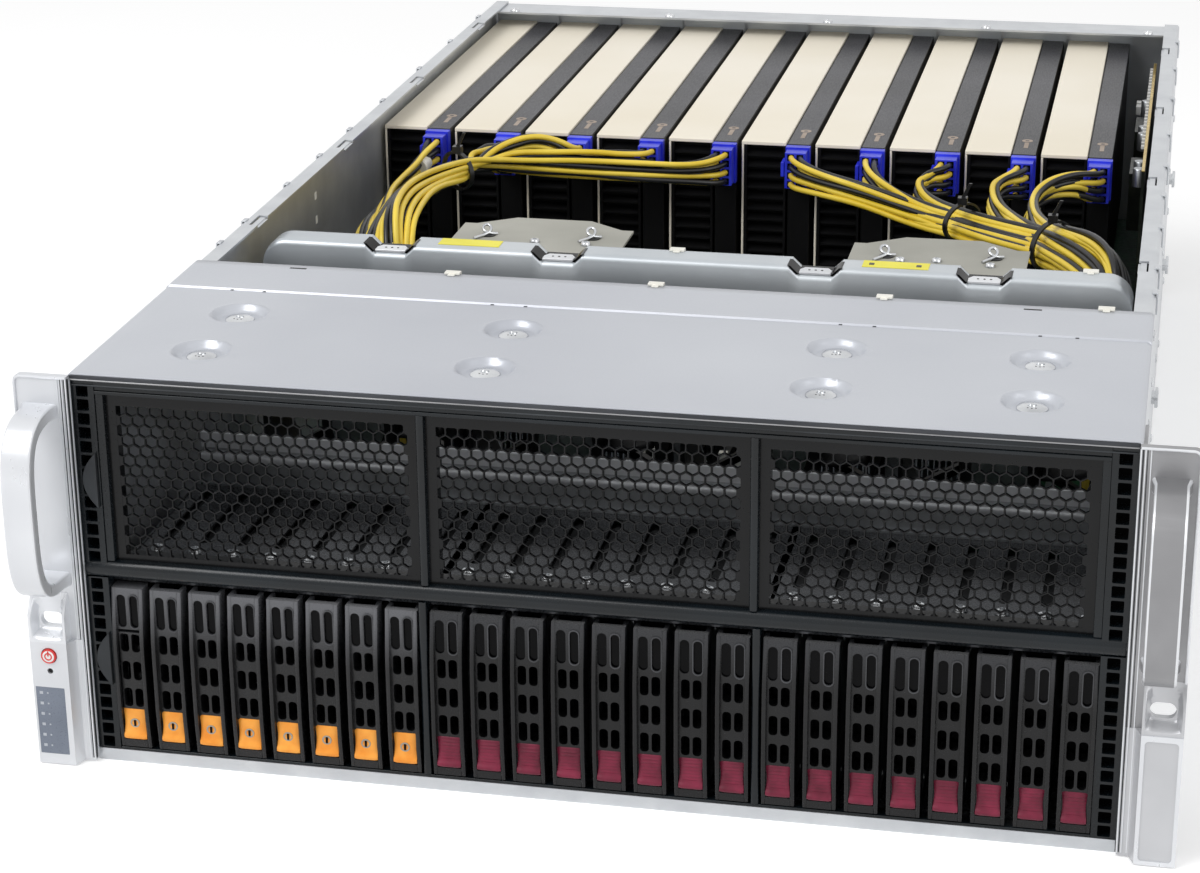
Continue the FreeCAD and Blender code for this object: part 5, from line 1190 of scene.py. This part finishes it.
def processor_bay():
    """Close-set heat sink fins on their bases, memory latches and chips, and parts on the main board."""
    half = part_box("cpu_heatsinks")[1].x / MM - SINK_X[1]
    depth = (298, 398)
    sinks = []
    for x in SINK_X:
        wide = (x - half, x + half)
        fins = np.linspace(x - half + 0.4, x + half - 0.4, 29)
        sinks += [blocks(wide, depth, (16, 21)), blocks(around(fins, 0.7), depth, (21, 72)),
                  blocks(wide, ((312, 314), (347, 349), (382, 384)), (70.6, 71.8))]
    piece("heat_sinks", FIN_METAL, sinks, ["cpu_heatsinks"])
    bolts = [(x + a, y, 21.0) for x in SINK_X for a in (-half + 4, half - 4) for y in (303.0, 393.0)]
    posts = turned([(2.6, 0), (2.6, 9), (4, 9), (4, 13), (3.4, 13.6), (1.2, 13.6)], bolts, UP, 16)
    piece("sink_bolts", BRIGHT_STEEL, [posts])
    x = np.ravel([middle + side * (50.0 + 8.5 * np.arange(4)) for middle in SINK_X for side in SIDES])
    latches = [blocks(around(x, 4.4), span, (34, 50)) for span in ((283.5, 287.8), (421.2, 425.5))]
    piece("memory_latches", CLIP_WHITE, latches, bevel=0.4)
    y = spans(293 + 13.4 * np.arange(9), 0, 9.6)
    chips = blocks(np.repeat(around(x, 4.8), len(y), 0), np.tile(y, (len(x), 1)), (26, 40))
    piece("memory_chips", LAMP_BLACK, [chips])
    y = spans(306 + 12.0 * np.arange(8), 0, 8.4)
    parts = [blocks(wide, y, (9.4, 15.6), 1) for wide in ((-7.6, -1.0), (1.0, 7.6))]
    cans = [(a, b, 9.5) for a in (-14.0, 14.0) for b in 308 + 10.5 * np.arange(9)]
    parts.append(turned([(3.0, 0), (3.0, 8.6), (2.6, 9.2), (0.8, 9.2)], cans, UP, 14, 2))
    parts += [blocks((x, x + 28), (286, 292), (9.4, 19), 3) for x in (-150, -18, 114)]
    piece("board_parts", [CLIP_WHITE, INNER_DARK, SUPPLY_METAL, PLUG_BLUE], parts, bevel=0.2)


def main_board():
    """Main board: a plan with a narrow tail, processor sockets, posts, and port shells round dark sockets."""
    plan = [(-166, 284), (166, 284), (166, 432), (58, 432), (58, 730), (-58, 730), (-58, 432), (-166, 432)]
    posts = np.array([(side * x, y) for side in SIDES for x, y in ((158, 292), (158, 424), (50, 722))])
    ports = (-44.0, -24.0, -4.0, 16.0, 40.0)
    board_top, port_top = 9.6, 23.0
    shell_y = 732.4
    cells = [(x - 8, x + 8, board_top, port_top) for x in ports]
    holes = [(x - 6.6, x + 6.6, 11.0, 21.6) for x in ports]
    surfaces = [prism(plan, (8.0, board_top), "xy"),
                blocks(around(SINK_X, 64.0), (316, 380), (board_top, 16.0), 3),
                blocks(around(posts[:, 0], 6.0), around(posts[:, 1], 6.0), (1.2, 8.0), 1),
                windows(cells, holes, 0.8, (shell_y, 735.4), 1, steps=4),
                blocks(around(ports, 16.0), (716.0, shell_y), (board_top, port_top), 1),
                blocks(around(ports, 13.0), (732.3, 732.7), (11.2, 21.4), 3),
                blocks(around(ports, 7.0), (732.5, 734.8), (15.6, 17.0), 2)]
    piece("main_board", [BOARD_GREEN, SUPPLY_METAL, GOLD, LAMP_BLACK], surfaces,
          ["motherboard"])


def camera():
    """Long lens from the front right and above, as the photograph was taken."""
    lens = bpy.data.cameras.new("camera")
    lens.sensor_width = 36.0
    lens.lens = 84.75
    lens.shift_x = 0.0034
    lens.shift_y = -0.0005
    lens.clip_start = 0.05
    lens.clip_end = 60.0
    eye = bpy.data.objects.new("camera", lens)
    eye.location = placed([(226.52, -1027.61, 566.29)])[0]
    eye.rotation_euler = [math.radians(a) for a in (69.1266, 0.5717, 11.9692)]
    bpy.context.scene.collection.objects.link(eye)
    bpy.context.scene.camera = eye


def largest(tree, values):
    """The largest of several shader values."""
    found = values[0]
    for value in values[1:]:
        step = added(tree, "ShaderNodeMath", operation="MAXIMUM")
        tree.links.new(found, step.inputs[0])
        tree.links.new(value, step.inputs[1])
        found = step.outputs[0]
    return found


def studio():
    """Pale floor, white surroundings and soft lamps at a plain level."""
    ground = bpy.data.meshes.new("floor")
    ground.from_pydata([(-6, -6, 0), (6, -6, 0), (6, 6, 0), (-6, 6, 0)], [], [(0, 1, 2, 3)])
    ground.materials.append(FLOOR_WHITE)
    floor = bpy.data.objects.new("floor", ground)
    bpy.context.scene.collection.objects.link(floor)
    white = (1, 1, 1, 1)
    tree = FLOOR_WHITE.node_tree
    rays = added(tree, "ShaderNodeLightPath").outputs
    glow = added(tree, "ShaderNodeMath", {1: 0.3}, operation="MULTIPLY")
    tree.links.new(largest(tree, [rays["Is Camera Ray"], rays["Is Glossy Ray"]]), glow.inputs[0])
    coat = tree.nodes["Principled BSDF"]
    coat.inputs["Emission Color"].default_value = white
    tree.links.new(glow.outputs[0], coat.inputs["Emission Strength"])
    world = bpy.data.worlds.new("surroundings")
    bpy.context.scene.world = world
    world.use_nodes = True
    tree = world.node_tree
    seen = tree.nodes["Background"]
    seen.inputs["Color"].default_value = white
    rays = added(tree, "ShaderNodeLightPath").outputs
    views = [rays["Is %s Ray" % kind] for kind in ("Camera", "Glossy", "Transmission")]
    level = added(tree, "ShaderNodeMapRange", {"To Min": 0.55, "To Max": 1.0})
    tree.links.new(largest(tree, views), level.inputs["Value"])
    tree.links.new(level.outputs["Result"], seen.inputs["Strength"])
    for name, place, aim, size, power in (("key", (-1.4, -1.6, 2.2), (0, -0.1, 0.1), 1.6, 46.0),
                                          ("fill", (1.8, -1.2, 1.2), (0, 0, 0.1), 1.4, 12.0)):
        lamp = bpy.data.lights.new(name, "AREA")
        lamp.size = size
        lamp.energy = power
        holder = bpy.data.objects.new(name, lamp)
        holder.location = place
        way = np.array(aim) - np.array(place)
        flat = math.hypot(way[0], way[1])
        holder.rotation_euler = (math.atan2(flat, -way[2]), 0, math.atan2(-way[0], way[1]))
        bpy.context.scene.collection.objects.link(holder)
    bpy.context.scene.view_settings.view_transform = "Standard"


dress_cad_nodes()
camera()
power_looms()
power_plugs()
front_cover()
honeycomb()
front_bars()
drive_cage()
carriers()
strap_handles()
ear(-1)
ear(1)
ear_controls()
fan_wall()
edge_clips()
accelerator_cards()
shelf_and_riser_fittings()
tray_fittings()
supplies()
fans()
processor_bay()
main_board()
studio()
